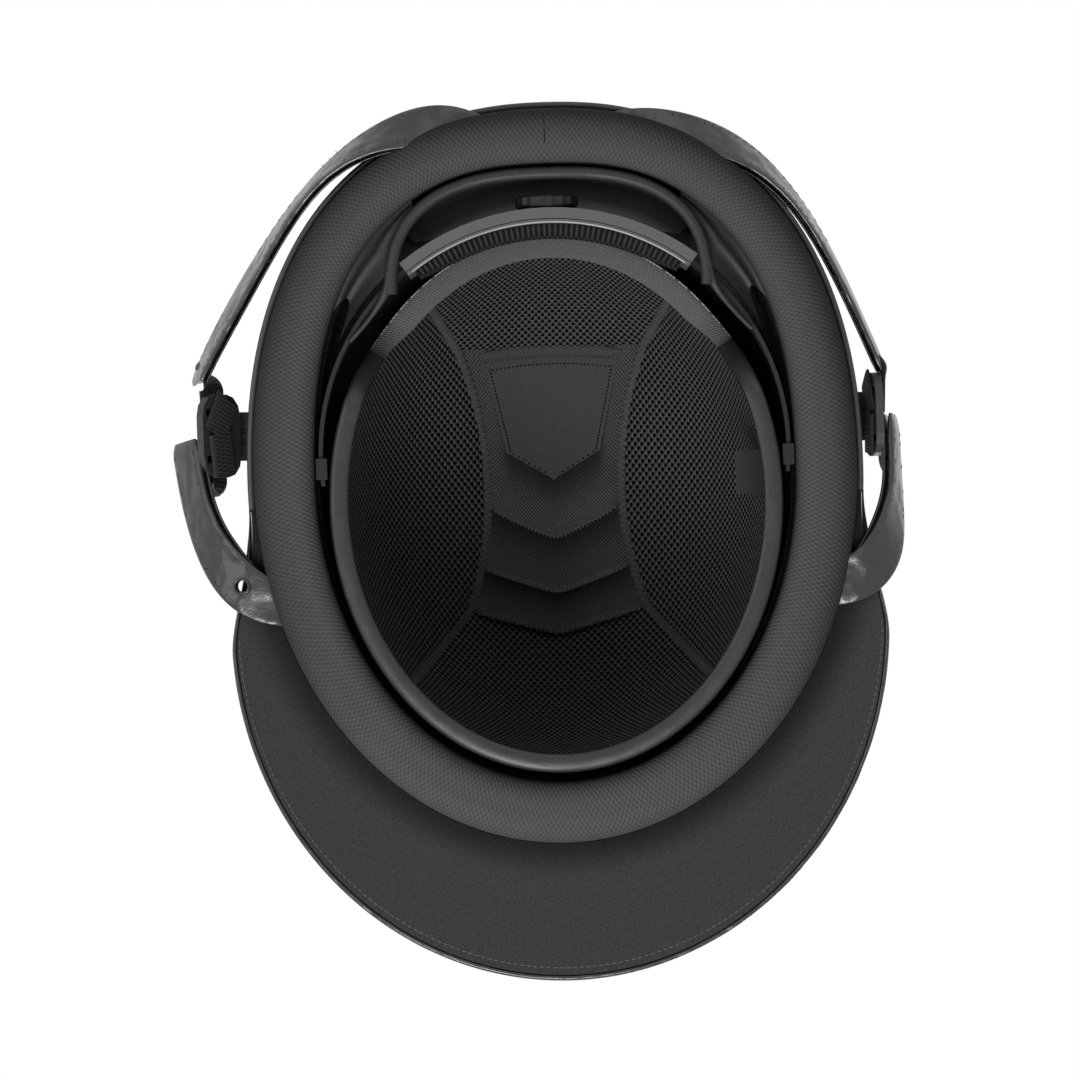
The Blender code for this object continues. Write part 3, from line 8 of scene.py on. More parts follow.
# %% Load the CAD parts
import math

import bpy
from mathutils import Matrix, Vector
from mathutils.kdtree import KDTree


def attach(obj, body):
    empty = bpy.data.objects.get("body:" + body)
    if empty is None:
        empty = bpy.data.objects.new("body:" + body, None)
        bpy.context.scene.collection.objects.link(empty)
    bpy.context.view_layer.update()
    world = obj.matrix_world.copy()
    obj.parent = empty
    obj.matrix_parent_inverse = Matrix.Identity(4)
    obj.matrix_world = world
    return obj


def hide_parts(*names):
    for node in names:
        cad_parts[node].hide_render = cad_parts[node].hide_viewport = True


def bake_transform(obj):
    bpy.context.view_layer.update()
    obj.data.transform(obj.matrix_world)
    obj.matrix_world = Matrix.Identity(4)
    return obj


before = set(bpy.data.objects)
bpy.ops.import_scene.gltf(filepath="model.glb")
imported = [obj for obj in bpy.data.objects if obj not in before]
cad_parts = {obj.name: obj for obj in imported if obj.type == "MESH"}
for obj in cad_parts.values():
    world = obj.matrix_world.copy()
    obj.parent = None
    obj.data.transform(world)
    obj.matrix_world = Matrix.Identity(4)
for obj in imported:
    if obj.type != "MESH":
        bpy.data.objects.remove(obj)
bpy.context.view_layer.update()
scene = bpy.context.scene

# %% [markdown]
# ## Camera, light and floor
#
# The camera stands 1.4 m under the helmet and looks straight up, so its right is the wearer's right.
# The floor lies just under the helmet. Seen from below it would hide the helmet, so its material
# is see-through from that side, and for every ray that isn't a camera ray.

# %% Camera
EYE = Vector((0.0067, -0.0246, -1.4))
HALF_VIEW, ROLL = 0.2041, math.radians(1.9)
bpy.ops.object.camera_add(location=EYE, rotation=(0.0, math.pi, ROLL))
camera = bpy.context.object
camera.name = "camera"
camera.data.angle = 2.0 * math.atan(HALF_VIEW / -EYE.z)
scene.camera = camera
scene.view_settings.view_transform = "Standard"


# %% Small helper for shader nodes
def node(tree, kind, inputs=None, **settings):
    """Add a shader node, set its options, and give each input a value or a link."""
    made = tree.nodes.new(kind)
    for key, value in settings.items():
        setattr(made, key, value)
    for key, value in (inputs or {}).items():
        if isinstance(value, bpy.types.NodeSocket):
            tree.links.new(value, made.inputs[key])
        else:
            made.inputs[key].default_value = value
    return made


def maths(tree, operation, first, second=0.0, third=0.0):
    """One calculation on shader values."""
    return node(tree, "ShaderNodeMath", {0: first, 1: second, 2: third}, operation=operation).outputs[0]


# %% World
WORLD_DIFFUSE = 0.30
world = bpy.data.worlds.new("studio")
scene.world = world
world.use_nodes = True
tree = world.node_tree
tree.nodes.clear()
path = node(tree, "ShaderNodeLightPath")
direct = maths(tree, "MAXIMUM", path.outputs["Is Camera Ray"], path.outputs["Is Glossy Ray"])
direct = maths(tree, "MAXIMUM", direct, path.outputs["Is Transmission Ray"])
soft = node(tree, "ShaderNodeBackground", {"Color": (1, 1, 1, 1), "Strength": WORLD_DIFFUSE})
white = node(tree, "ShaderNodeBackground", {"Color": (1, 1, 1, 1), "Strength": 1.0})
both = node(tree, "ShaderNodeMixShader", {0: direct, 1: soft.outputs[0], 2: white.outputs[0]})
node(tree, "ShaderNodeOutputWorld", {"Surface": both.outputs[0]})

# %% Floor
FLOOR_SIZE, FLOOR_LEVEL, FLOOR_GREY = 6.0, -0.0006, 0.86
bpy.ops.mesh.primitive_plane_add(size=FLOOR_SIZE, location=(0.0, 0.0, FLOOR_LEVEL))
floor = bpy.context.object
floor.name = "floor"
paper = bpy.data.materials.new("floor_paper")
paper.use_nodes = True
tree = paper.node_tree
path = node(tree, "ShaderNodeLightPath")
face = node(tree, "ShaderNodeNewGeometry")
front = maths(tree, "SUBTRACT", 1.0, face.outputs["Backfacing"])
shown = maths(tree, "MULTIPLY", front, path.outputs["Is Camera Ray"])
clear = node(tree, "ShaderNodeBsdfTransparent")
shader = tree.nodes["Principled BSDF"]
shader.inputs["Base Color"].default_value = (FLOOR_GREY, FLOOR_GREY, FLOOR_GREY, 1.0)
shader.inputs["Roughness"].default_value = 0.9
mix = node(tree, "ShaderNodeMixShader", {0: shown, 1: clear.outputs[0], 2: shader.outputs[0]})
tree.links.new(mix.outputs[0], tree.nodes["Material Output"].inputs["Surface"])
floor.data.materials.append(paper)


# %% Lamps
AIM = Vector((0.0, 0.0, 0.03))


def add_lamp(name, place, size, power):
    """A soft square lamp that faces the helmet and is itself out of the picture."""
    place = Vector(place)
    turn = (AIM - place).to_track_quat("-Z", "Y").to_euler()
    bpy.ops.object.light_add(type="AREA", location=place, rotation=turn)
    lamp = bpy.context.object
    lamp.name = name
    lamp.data.size = size
    lamp.data.energy = power
    lamp.visible_camera = False


add_lamp("lamp_key", (0.20, -0.92, -1.25), 0.7, 21.0)
add_lamp("lamp_left", (1.1, 0.2, -0.9), 0.9, 4.0)
add_lamp("lamp_rear", (-0.3, 1.2, -0.9), 0.9, 1.5)
add_lamp("lamp_top", (-0.8, -0.9, 1.5), 1.2, 20.0)
print("stage: camera, world, floor and lamps")

# %% [markdown]
# ## Modelling helpers
#
# Most soft parts here are skins: a flat grid whose points are moved by a rule. The rule says where
# the point at the shares u and v of the grid belongs. A tube is the same grid with its first and
# last row in one place, and merging the doubled points closes it.


# %% Grids that follow a rule
def centred(share):
    """A share from 0 to 1 as a place from -1 to 1."""
    return 2.0 * share - 1.0


def plateau(share, power):
    """1 over most of the way, falling to 0 at both ends."""
    return 1.0 - centred(share) ** power


def activate(piece):
    bpy.ops.object.select_all(action="DESELECT")
    piece.select_set(True)
    bpy.context.view_layer.objects.active = piece


def weld(piece, fill=False, angle=50.0):
    """Merge doubled points, close open ends, turn the faces outward and shade smooth."""
    activate(piece)
    bpy.ops.object.mode_set(mode="EDIT")
    bpy.ops.mesh.select_all(action="SELECT")
    bpy.ops.mesh.remove_doubles(threshold=2e-6)
    if fill:
        bpy.ops.mesh.fill_holes(sides=0)
        bpy.ops.mesh.select_all(action="SELECT")
    bpy.ops.mesh.normals_make_consistent(inside=False)
    bpy.ops.object.mode_set(mode="OBJECT")
    bpy.ops.object.shade_smooth_by_angle(angle=math.radians(angle))
    return piece


def raw_grid(name, columns, rows, place, chart):
    bpy.ops.object.select_all(action="DESELECT")
    bpy.ops.mesh.primitive_grid_add(x_subdivisions=columns, y_subdivisions=rows, size=2.0)
    piece = bpy.context.object
    piece.name = piece.data.name = name
    shares = [((p.co.x + 1.0) / 2.0, (p.co.y + 1.0) / 2.0) for p in piece.data.vertices]
    for point, (u, v) in zip(piece.data.vertices, shares):
        point.co = place(u, v)
    layer = piece.data.uv_layers.active.data
    for loop in piece.data.loops:
        layer[loop.index].uv = chart(*shares[loop.vertex_index])
    return piece


def skin(name, columns, rows, place, size=(1.0, 1.0), chart=None, fill=False, angle=50.0):
    """A grid moved by place(u, v); its UV map is in metres."""
    chart = chart or (lambda u, v: (u * size[0], v * size[1]))
    return weld(raw_grid(name, columns, rows, place, chart), fill, angle)


def tube(name, columns, rows, section, size):
    """A closed cord: section(u) gives its middle and its two half axes."""
    def place(u, v):
        middle, first, second = section(u)
        return middle + first * math.cos(math.tau * v) + second * math.sin(math.tau * v)

    return skin(name, columns, rows, place, size, fill=True)


def pad(name, columns, rows, front, back, chart):
    """A cushion: a front skin that turns over its edge to a back skin."""
    def inside(share, count):
        step = round(share * (count + 2)) - 1
        return min(max(step, 0), count) / count, step in (-1, count + 1)

    def place(u, v):
        (s, edge_s), (t, edge_t) = inside(u, columns), inside(v, rows)
        return back(s, t) if edge_s or edge_t else front(s, t)

    def face_chart(u, v):
        return chart(inside(u, columns)[0], inside(v, rows)[0])

    face = raw_grid(name, columns + 2, rows + 2, place, face_chart)
    rear = raw_grid(name + "_back", columns, rows, back, chart)
    activate(face)
    rear.select_set(True)
    bpy.ops.object.join()
    return weld(face, angle=60.0)


# %% [markdown]
# ## Finishes
#
# Each finish is a Principled shader with procedural detail. Woven and knitted cloth use two crossed
# waves on the UV map, which is in metres, so a pitch can be written as the real size of a thread.
# Leather, plastic and suede use noise on the object's own coordinates.


# %% Building blocks
def new_finish(name, colour, roughness, specular=0.5, metallic=0.0, sheen=0.0):
    material = bpy.data.materials.new(name)
    material.use_nodes = True
    values = {"Base Color": (colour, colour, colour * 1.03, 1.0), "Roughness": roughness,
              "Specular IOR Level": specular, "Metallic": metallic, "Sheen Weight": sheen,
              "Sheen Roughness": 0.5}
    for key, value in values.items():
        material.node_tree.nodes["Principled BSDF"].inputs[key].default_value = value
    material.diffuse_color = (colour, colour, colour, 1.0)
    return material


def waves(tree, pitch_u, pitch_v):
    """Crossed waves of the UV map: staggered bumps from -1 to 1."""
    split = node(tree, "ShaderNodeSeparateXYZ", {0: node(tree, "ShaderNodeUVMap").outputs[0]})
    first = maths(tree, "COSINE", maths(tree, "MULTIPLY", split.outputs[0], math.tau / pitch_u))
    second = maths(tree, "COSINE", maths(tree, "MULTIPLY", split.outputs[1], math.tau / pitch_v))
    return maths(tree, "MULTIPLY", first, second)


def noise(tree, scale, detail=3.0):
    """Noise from 0 to 1 in the object's own coordinates."""
    place = node(tree, "ShaderNodeTexCoord").outputs["Object"]
    return node(tree, "ShaderNodeTexNoise", {"Vector": place, "Scale": scale, "Detail": detail}).outputs[0]


def fuzzy_waves(tree, pitch, scale, fuzz):
    """Crossed waves with some noise, as no thread lies quite straight."""
    loose = maths(tree, "MULTIPLY", maths(tree, "SUBTRACT", noise(tree, scale), 0.5), fuzz)
    return maths(tree, "ADD", waves(tree, *pitch), loose)


def colour_from(tree, value, low, high, dark, light):
    """Grey from dark to light as the value goes from low to high."""
    ramp = node(tree, "ShaderNodeMapRange",
                {0: value, 1: low, 2: high, 3: dark, 4: light}, interpolation_type="SMOOTHSTEP")
    tree.links.new(ramp.outputs[0], tree.nodes["Principled BSDF"].inputs["Base Color"])


def bump_from(tree, value, distance):
    """Let the value stand up from the surface by a distance in metres."""
    bump = node(tree, "ShaderNodeBump", {"Height": value, "Distance": distance, "Strength": 1.0})
    tree.links.new(bump.outputs[0], tree.nodes["Principled BSDF"].inputs["Normal"])


# %% Cloth finishes
def cloth_finish(name, pitch, dark, light, height, roughness=0.85, specular=0.05, sheen=0.0):
    """Woven or knitted cloth: thread pitch across and along, in metres."""
    material = new_finish(name, light, roughness, specular, 0.0, sheen)
    tree = material.node_tree
    value = fuzzy_waves(tree, pitch, 900.0, 0.9)
    colour_from(tree, value, -0.6, 0.7, dark, light)
    bump_from(tree, value, height)
    return material


def mesh_finish(name, pitch, hole, strand):
    """Spacer mesh: dark staggered holes between lighter strands."""
    material = new_finish(name, strand, 0.8, 0.05)
    tree = material.node_tree
    value = fuzzy_waves(tree, (pitch, pitch), 700.0, 0.35)
    colour_from(tree, value, 0.35, -0.15, hole, strand)
    bump_from(tree, maths(tree, "MULTIPLY", value, -1.0), 0.0006)
    return material


def dim_by_painted_shade(material):
    """Painted shade: scale the colour by the mesh's own "fold" attribute, 1 in the open and less where shade
    falls.
    """
    tree = material.node_tree
    colour = tree.nodes["Principled BSDF"].inputs["Base Color"]
    source = colour.links[0].from_socket
    fold = node(tree, "ShaderNodeAttribute", {}, attribute_name="fold")
    dim = node(tree, "ShaderNodeVectorMath", {0: source, 3: fold.outputs["Fac"]}, operation="SCALE")
    tree.links.new(dim.outputs[0], colour)
    return material


def store_painted_shade(piece, shade):
    """Store the painted shade as the "fold" attribute: shade(place) for every point of the mesh."""
    fold = piece.data.attributes.new("fold", "FLOAT", "POINT")
    for vertex, value in zip(piece.data.vertices, fold.data):
        value.value = shade(vertex.co)


# Painted shade: the collar, crown steps and brim have their colour dimmed by the "fold" attribute.
COLLAR = dim_by_painted_shade(cloth_finish("collar_weave", (0.0018, 0.0034), 0.058, 0.084, 0.00014))
SPACER = mesh_finish("spacer_mesh", 0.0038, 0.0015, 0.088)
JERSEY = cloth_finish("crown_jersey", (0.0008, 0.0010), 0.040, 0.072, 0.00005, sheen=0.1)
STEP = dim_by_painted_shade(cloth_finish("step_jersey", (0.0015, 0.0012), 0.028, 0.110, 0.00012, sheen=0.1))
PATCH = cloth_finish("patch_canvas", (0.0013, 0.0011), 0.036, 0.080, 0.00006)
KNIT = cloth_finish("grey_knit", (0.0011, 0.0013), 0.095, 0.165, 0.00015)
RIBBED = cloth_finish("ribbed_pad", (0.0021, 0.02), 0.010, 0.045, 0.0005)
WEBBING = cloth_finish("strap_webbing", (0.0016, 0.0022), 0.010, 0.045, 0.00018, 0.6, 0.4)
TAG = cloth_finish("tag_satin", (0.0005, 0.0008), 0.012, 0.020, 0.00003, 0.5, 0.2)


# %% Leather, rubber, plastic, suede, foam and steel
def grain_finish(name, colour, roughness, scale, height, specular=0.5, metallic=0.0, spread=0.25,
                 crease=0.0, wear=60.0):
    """A smooth skin with fine grain in colour, gloss and height, and soft creases if asked for."""
    material = new_finish(name, colour, roughness, specular, metallic)
    tree = material.node_tree
    grain = noise(tree, scale, 5.0)
    patches = noise(tree, wear, 2.0)
    colour_from(tree, grain, 0.25, 0.75, colour * (1 - spread), colour * (1 + spread))
    gloss = node(tree, "ShaderNodeMapRange", {0: patches, 1: 0.3, 2: 0.7, 3: roughness * 0.85,
                                              4: min(roughness * 1.15, 1.0)})
    tree.links.new(gloss.outputs[0], tree.nodes["Principled BSDF"].inputs["Roughness"])
    if crease:
        grain = maths(tree, "MULTIPLY_ADD", noise(tree, 110.0, 1.0), crease / height, grain)
    bump_from(tree, grain, height)
    return material


SHELL = grain_finish("shell_matte", 0.016, 0.50, 1500.0, 0.00006, 0.4, wear=500.0)
RUBBER = grain_finish("trim_rubber", 0.030, 0.40, 1200.0, 0.00003, 0.5)
SUEDE = dim_by_painted_shade(grain_finish("brim_suede", 0.043, 0.92, 2200.0, 0.00012, 0.02, spread=0.35))
LEATHER = grain_finish("leatherette", 0.014, 0.24, 1100.0, 0.00006, 0.6, crease=0.0014)
LINING = grain_finish("nape_lining", 0.052, 0.50, 1300.0, 0.00006, 0.4)
GREY = grain_finish("grey_plastic", 0.078, 0.42, 1600.0, 0.00003, 0.5, spread=0.08)
BLACK = grain_finish("black_plastic", 0.012, 0.45, 1400.0, 0.00003, 0.25)
DIVIDER = grain_finish("divider_rubber", 0.030, 0.45, 1400.0, 0.00005, 0.4)
FOAM = grain_finish("impact_foam", 0.012, 0.95, 420.0, 0.0004, 0.02, spread=0.4)
STEEL = grain_finish("gun_steel", 0.20, 0.32, 900.0, 0.00002, 0.5, 1.0)
EYELET = grain_finish("black_eyelet", 0.012, 0.30, 900.0, 0.00002, 0.5)
# The bright finish serves the tape's edge stitches and the painted highlight along the cradle housing's
# edge.
BRIGHT_THREAD_AND_HIGHLIGHT = grain_finish("bright_thread_and_painted_highlight", 0.30, 0.30, 1600.0, 0.00002, 0.6, spread=0.08)
THREAD = grain_finish("thread", 0.060, 0.6, 2500.0, 0.00004, 0.3)
BINDING = grain_finish("edge_binding", 0.016, 0.40, 1100.0, 0.00005, 0.4, crease=0.0003)
NEEDLE = grain_finish("needle_line", 0.006, 0.7, 2500.0, 0.00003, 0.05)
HOOK = grain_finish("hook_tape", 0.012, 0.9, 1800.0, 0.0003, 0.02)
PIPING = grain_finish("soft_leatherette", 0.022, 0.48, 1100.0, 0.00008, 0.3)
print("finishes:", len(bpy.data.materials))


# %% Finish a piece
def settle(piece, finish, nodes=(), body="helmet"):
    """Give a piece its finish and its body, and hide the CAD nodes it stands for."""
    piece.data.materials.clear()
    piece.data.materials.append(finish)
    if nodes:
        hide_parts(*nodes)
    if body:
        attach(piece, body)


# %% [markdown]
# ## Shape rules of the shell
#
# The rim in plan is an ellipse in front and a squarer curve behind. The dome over it narrows by the
# same power curve at every angle. These rules and sizes are those of the CAD model.

# %% Rim and dome
GAP = 0.0003
SHELL_SIZE = (0.1159, 0.1412, 0.1408)
SHELL_TOP, SHELL_EDGE, SHELL_WALL = 0.160, 0.014, 0.0025
REAR_SQUARENESS, DOME_FULLNESS = 2.3, 2.3
TRIM_HEIGHT, TRIM_LIP, TRIM_OUTSET = 0.0075, 0.0012, 0.0017
SEAM_HEIGHT = SHELL_EDGE - GAP - TRIM_LIP
UP = Vector((0, 0, 1))


def smooth(value):
    value = min(max(value, 0.0), 1.0)
    return value * value * (3.0 - 2.0 * value)


def signed_power(value, power):
    return math.copysign(abs(value) ** power, value)


def plan(angle, half_width, ahead, behind, squareness):
    cosine, sine = math.cos(angle), math.sin(angle)
    power = 2.0 / squareness if sine > 0 else 1.0
    reach = behind if sine > 0 else ahead
    return Vector((half_width * signed_power(cosine, power), reach * signed_power(sine, power), 0.0))


def rim(angle, outset=0.0):
    return plan(angle, *[size + outset for size in SHELL_SIZE], REAR_SQUARENESS)


def dome_scale(share):
    return max(1.0 - min(max(share, 0.0), 1.0) ** DOME_FULLNESS, 0.0) ** (1.0 / DOME_FULLNESS)


def even_angles(curve, start, end, count):
    """Angles at equal steps along a curve, and the curve's length."""
    fine = 1600
    spots = [curve(start + (end - start) * i / fine) for i in range(fine + 1)]
    sums = [0.0]
    for one, two in zip(spots, spots[1:]):
        sums.append(sums[-1] + (two - one).length)
    angles, i = [], 0
    for k in range(count + 1):
        goal = sums[-1] * k / count
        while i < fine - 1 and sums[i + 1] < goal:
            i += 1
        part = (goal - sums[i]) / max(sums[i + 1] - sums[i], 1e-12)
        angles.append(start + (end - start) * (i + part) / fine)
    return angles, sums[-1]


# %% Outer shell
SHELL_STEPS, SHELL_ROWS, SHELL_TUCK = 240, 64, 0.010
RIM_ANGLES, RIM_LENGTH = even_angles(rim, 0.0, math.tau, SHELL_STEPS)


def shell_place(u, v):
    """In behind the rim, round its edge and up the dome."""
    angle = RIM_ANGLES[round(u * SHELL_STEPS)]
    row = round(v * SHELL_ROWS)
    if row < 3:
        inset = (SHELL_WALL, SHELL_WALL, 0.0)[row]
        return rim(angle, -inset) + UP * (SHELL_EDGE + (SHELL_TUCK if row == 0 else 0.0))
    turn = math.pi / 2.0 * (row - 2) / (SHELL_ROWS - 2)
    share = math.sin(turn) ** (2.0 / DOME_FULLNESS)
    return rim(angle) * dome_scale(share) + UP * (SHELL_EDGE + (SHELL_TOP - SHELL_EDGE) * share)


shell = skin("shell", SHELL_STEPS, SHELL_ROWS, shell_place, (RIM_LENGTH, 0.25), angle=60.0)
settle(shell, SHELL, ["outer_shell"])

# %% [markdown]
# The trim is a thin rubber profile round the sides and rear of the rim. Its ends are tucked into the
# brim.

# %% Rim trim
BRIM_START, TRIM_TUCK, TRIM_STEPS = -0.0095, 0.008, 180
TRIM_START = math.asin(BRIM_START / (SHELL_SIZE[1] + TRIM_OUTSET)) + GAP / SHELL_SIZE[0]
TRIM_ANGLES, TRIM_LENGTH = even_angles(rim, TRIM_START - TRIM_TUCK, math.pi - TRIM_START + TRIM_TUCK,
                                       TRIM_STEPS)
TRIM_TOP = SHELL_EDGE + TRIM_HEIGHT
TRIM_SECTION = (
    (-0.0006, SEAM_HEIGHT + 0.0004), (0.0, SEAM_HEIGHT), (0.0008, SEAM_HEIGHT),
    (0.0014, SEAM_HEIGHT + 0.0004), (TRIM_OUTSET, SEAM_HEIGHT + 0.0014), (TRIM_OUTSET, SHELL_EDGE + 0.003),
    (TRIM_OUTSET - 0.0002, TRIM_TOP - 0.0008), (0.0008, TRIM_TOP), (GAP, TRIM_TOP - 0.0004),
    (GAP, SHELL_EDGE), (-0.0006, SHELL_EDGE - GAP),
)
TRIM_ROWS = len(TRIM_SECTION)


def trim_place(u, v):
    outset, height = TRIM_SECTION[round(v * TRIM_ROWS) % TRIM_ROWS]
    return rim(TRIM_ANGLES[round(u * TRIM_STEPS)], outset) + UP * height


trim = skin("trim", TRIM_STEPS, TRIM_ROWS, trim_place, (TRIM_LENGTH, 0.03), fill=True)
settle(trim, RUBBER, ["rim_trim"])

# %% [markdown]
# ## Brim
#
# The brim opens out of the rim at both sides and is widest in front. Its underside sags a little.
# A bound bead runs round its edge, with a line of stitches just inside it.

# %% Brim shape
BRIM_HALF_WIDTH, BRIM_LENGTH, BRIM_CENTRE = 0.1252, 0.1349, -0.0570
BRIM_WING, BRIM_DROP, BRIM_EDGE, BRIM_ROOT, BRIM_BEAD = 0.22, 0.008, 0.0026, 0.0075, 0.0018
BRIM_STEPS, BRIM_ROWS, BRIM_TAPER, BRIM_ROUND = 200, 32, 0.045, 0.46
HALF_RIM = math.pi / 2.0 + math.asin(BRIM_START / (SHELL_SIZE[1] + TRIM_OUTSET))
HALF_EDGE = math.pi / 2.0 + math.asin((BRIM_START - BRIM_CENTRE) / BRIM_LENGTH)


def brim_growth(u):
    """How far the bead has grown out of the trim, from nothing at both ends."""
    return smooth((0.5 - abs(u - 0.5)) / BRIM_TAPER)


def bead_width(u):
    return BRIM_BEAD * (0.3 + 0.7 * brim_growth(u))


def brim_station(u):
    """Rim angle, edge point, outward direction and drop of the brim's edge."""
    along = centred(u)
    angle = -math.pi / 2.0 + along * HALF_RIM
    turn = -math.pi / 2.0 + along * HALF_EDGE
    full = Vector((BRIM_HALF_WIDTH * math.cos(turn), BRIM_CENTRE + BRIM_LENGTH * math.sin(turn), 0))
    wing = smooth((1.0 - abs(along)) / BRIM_WING)
    edge = rim(angle, TRIM_OUTSET + BRIM_BEAD * brim_growth(u)).lerp(full, wing)
    reach = edge - rim(angle)
    longest = BRIM_LENGTH - BRIM_CENTRE - SHELL_SIZE[1]
    return angle, edge, reach.normalized(), BRIM_DROP * wing * reach.length / longest


def brim_under(u, share):
    """A point on the brim's underside, from its root to its lip."""
    angle, edge, out, drop = brim_station(u)
    root = rim(angle, -SHELL_WALL * 0.25)
    lip = edge - out * (bead_width(u) + GAP)
    return root.lerp(lip, share) + UP * (SEAM_HEIGHT - drop * share ** 1.47)


def brim_place(u, v):
    """Along the underside to the lip, back over the upper side and into the shell's edge."""
    row, half = round(v * BRIM_ROWS), BRIM_ROWS // 2
    if row <= half:
        return brim_under(u, row / half)
    if row >= BRIM_ROWS - 1:
        outset, level = (GAP, SHELL_EDGE) if row < BRIM_ROWS else (-SHELL_WALL * 0.25, SEAM_HEIGHT)
        return rim(brim_station(u)[0], outset) + UP * level
    share = max(1.0 - (row - half - 1) / (half - 3), 0.0)
    full = TRIM_LIP + GAP + BRIM_ROOT
    thick = BRIM_EDGE + (full - BRIM_EDGE) * (1.0 - share) ** 0.75
    return brim_under(u, share) + UP * thick


brim = skin("brim_skin", BRIM_STEPS, BRIM_ROWS, brim_place, (BRIM_ROUND, 0.14), fill=True, angle=55.0)

# %% Painted shadow at the brim's root
ROOT_SPOTS, ROOT_SHADOW_DIM, ROOT_REACH = 400, 0.40, 0.014
root = KDTree(ROOT_SPOTS)
for i in range(ROOT_SPOTS):
    root.insert(rim(math.tau * i / ROOT_SPOTS), i)
root.balance()


def root_painted_shadow(place):
    """Painted shadow: dim where the brim comes out from under the rim."""
    away = root.find((place.x, place.y, 0.0))[2]
    return ROOT_SHADOW_DIM + (1.0 - ROOT_SHADOW_DIM) * smooth(away / ROOT_REACH)


store_painted_shade(brim, root_painted_shadow)
settle(brim, SUEDE, ["brim"])


# %% Brim bead
def bead_section(u):
    _, edge, out, drop = brim_station(u)
    width = bead_width(u)
    middle = edge - out * width / 2 + UP * (SEAM_HEIGHT - drop + BRIM_EDGE / 2)
    return middle, out * width * 0.62, UP * BRIM_EDGE * 0.66


bead = tube("brim_bead", BRIM_STEPS, 12, bead_section, (BRIM_ROUND, 0.008))
settle(bead, LEATHER, ["brim_binding"])

# %% [markdown]
# ## Stitches
#
# A stitch is a small capsule. One is modelled from a ball, and a row repeats its mesh along a line
# that lies on the cloth. Each row is one object.

# %% One stitch, and rows of it
bpy.ops.object.select_all(action="DESELECT")
bpy.ops.mesh.primitive_uv_sphere_add(segments=6, ring_count=4, radius=1.0)
stitch = bpy.context.object
STITCH_POINTS = [p.co.copy() for p in stitch.data.vertices]
STITCH_FACES = [tuple(f.vertices) for f in stitch.data.polygons]
bpy.data.objects.remove(stitch, do_unlink=True)


def stitch_row(name, line, count, length, width, finish, turn=0.0, sway=0.0):
    """Stitches on a line: line(t) gives a place and the direction out of the cloth."""
    points, faces = [], []
    for i in range(count):
        t = (i + 0.5) / count
        spot, out = line(t)
        ahead = (line(min(t + 0.004, 1.0))[0] - line(max(t - 0.004, 0.0))[0]).normalized()
        side = ahead.cross(out).normalized()
        angle = turn + (sway if i % 2 else -sway)
        main = ahead * math.cos(angle) + side * math.sin(angle)
        cross = main.cross(out).normalized()
        base = len(points)
        for p in STITCH_POINTS:
            points.append(spot + main * p.z * length / 2 + cross * p.x * width / 2 + out * p.y * width * 0.4)
        faces += [tuple(base + k for k in face) for face in STITCH_FACES]
    mesh = bpy.data.meshes.new(name)
    mesh.from_pydata(points, [], faces)
    mesh.shade_smooth()
    row = bpy.data.objects.new(name, mesh)
    scene.collection.objects.link(row)
    weld(row)
    settle(row, finish)


def brim_stitch_line(t):
    return brim_under(0.10 + 0.80 * t, 0.945), -UP


stitch_row("brim_stitches", brim_stitch_line, 150, 0.0020, 0.0005, LINING)

# %% [markdown]
# ## Padded collar
#
# The collar is a foam ring in ribbed cloth that closes the gap between shell and opening. It is
# swept round the rim with a rounded section, and the helmet stands on its flat underside.

# %% Collar
OPENING, OPENING_SQUARENESS = (0.0915, 0.117, 0.118), 2.5
COLLAR_TOP, COLLAR_WALL, INNER_ROUND, OUTER_ROUND = 0.0233, 0.016, 0.0085, 0.0100
COLLAR_STEPS, COLLAR_ROWS, COLLAR_MIDDLE, CHART_UNIT = 320, 44, -0.012, 0.0024
ARC_STEPS = 12
ARC = [(math.cos(math.pi / 2 * i / ARC_STEPS), math.sin(math.pi / 2 * i / ARC_STEPS))
       for i in range(ARC_STEPS + 1)]


def collar_section(angle, v):
    """The collar's section: up the inner wall, round the underside, up the outer wall and back."""
    inner, outer = plan(angle, *OPENING, OPENING_SQUARENESS), rim(angle, -SHELL_WALL * 0.45)
    wall = rim(angle, -SHELL_WALL - GAP)
    width = (outer - inner).length
    flat = width - INNER_ROUND - OUTER_ROUND
    marks = [(0.0, COLLAR_TOP), (0.0, COLLAR_WALL)]
    marks += [(INNER_ROUND * (1 - c), INNER_ROUND * (1 - s)) for c, s in ARC]
    marks += [(INNER_ROUND + flat * i / ARC_STEPS, 0.0) for i in range(1, ARC_STEPS)]
    marks += [(width - OUTER_ROUND * (1 - s), OUTER_ROUND * (1 - c)) for c, s in ARC]
    marks.append((width, SHELL_EDGE - GAP))
    row = round(v * COLLAR_ROWS) % COLLAR_ROWS
    if row < len(marks):
        reach, height = marks[row]
        return inner + (outer - inner).normalized() * reach + UP * height
    share = (row - len(marks)) / (COLLAR_ROWS - len(marks))
    rise = min(share * 3 + 0.3, 1.0)
    return wall.lerp(inner, share) + UP * (SHELL_EDGE + (COLLAR_TOP - SHELL_EDGE) * rise)


COLLAR_ANGLES, COLLAR_LENGTH = even_angles(lambda a: rim(a, COLLAR_MIDDLE), 0.0, math.tau, COLLAR_STEPS)
section = [collar_section(0.0, i / COLLAR_ROWS) for i in range(COLLAR_ROWS)]
COLLAR_WAY = [0.0]
for one, two in zip(section, section[1:] + section[:1]):
    COLLAR_WAY.append(COLLAR_WAY[-1] + (two - one).length)


def collar_chart(u, v):
    return u * round(COLLAR_LENGTH / CHART_UNIT) * CHART_UNIT, COLLAR_WAY[round(v * COLLAR_ROWS)]


collar = skin("collar", COLLAR_STEPS, COLLAR_ROWS,
              lambda u, v: collar_section(COLLAR_ANGLES[round(u * COLLAR_STEPS)], v),
              chart=collar_chart, angle=60.0)
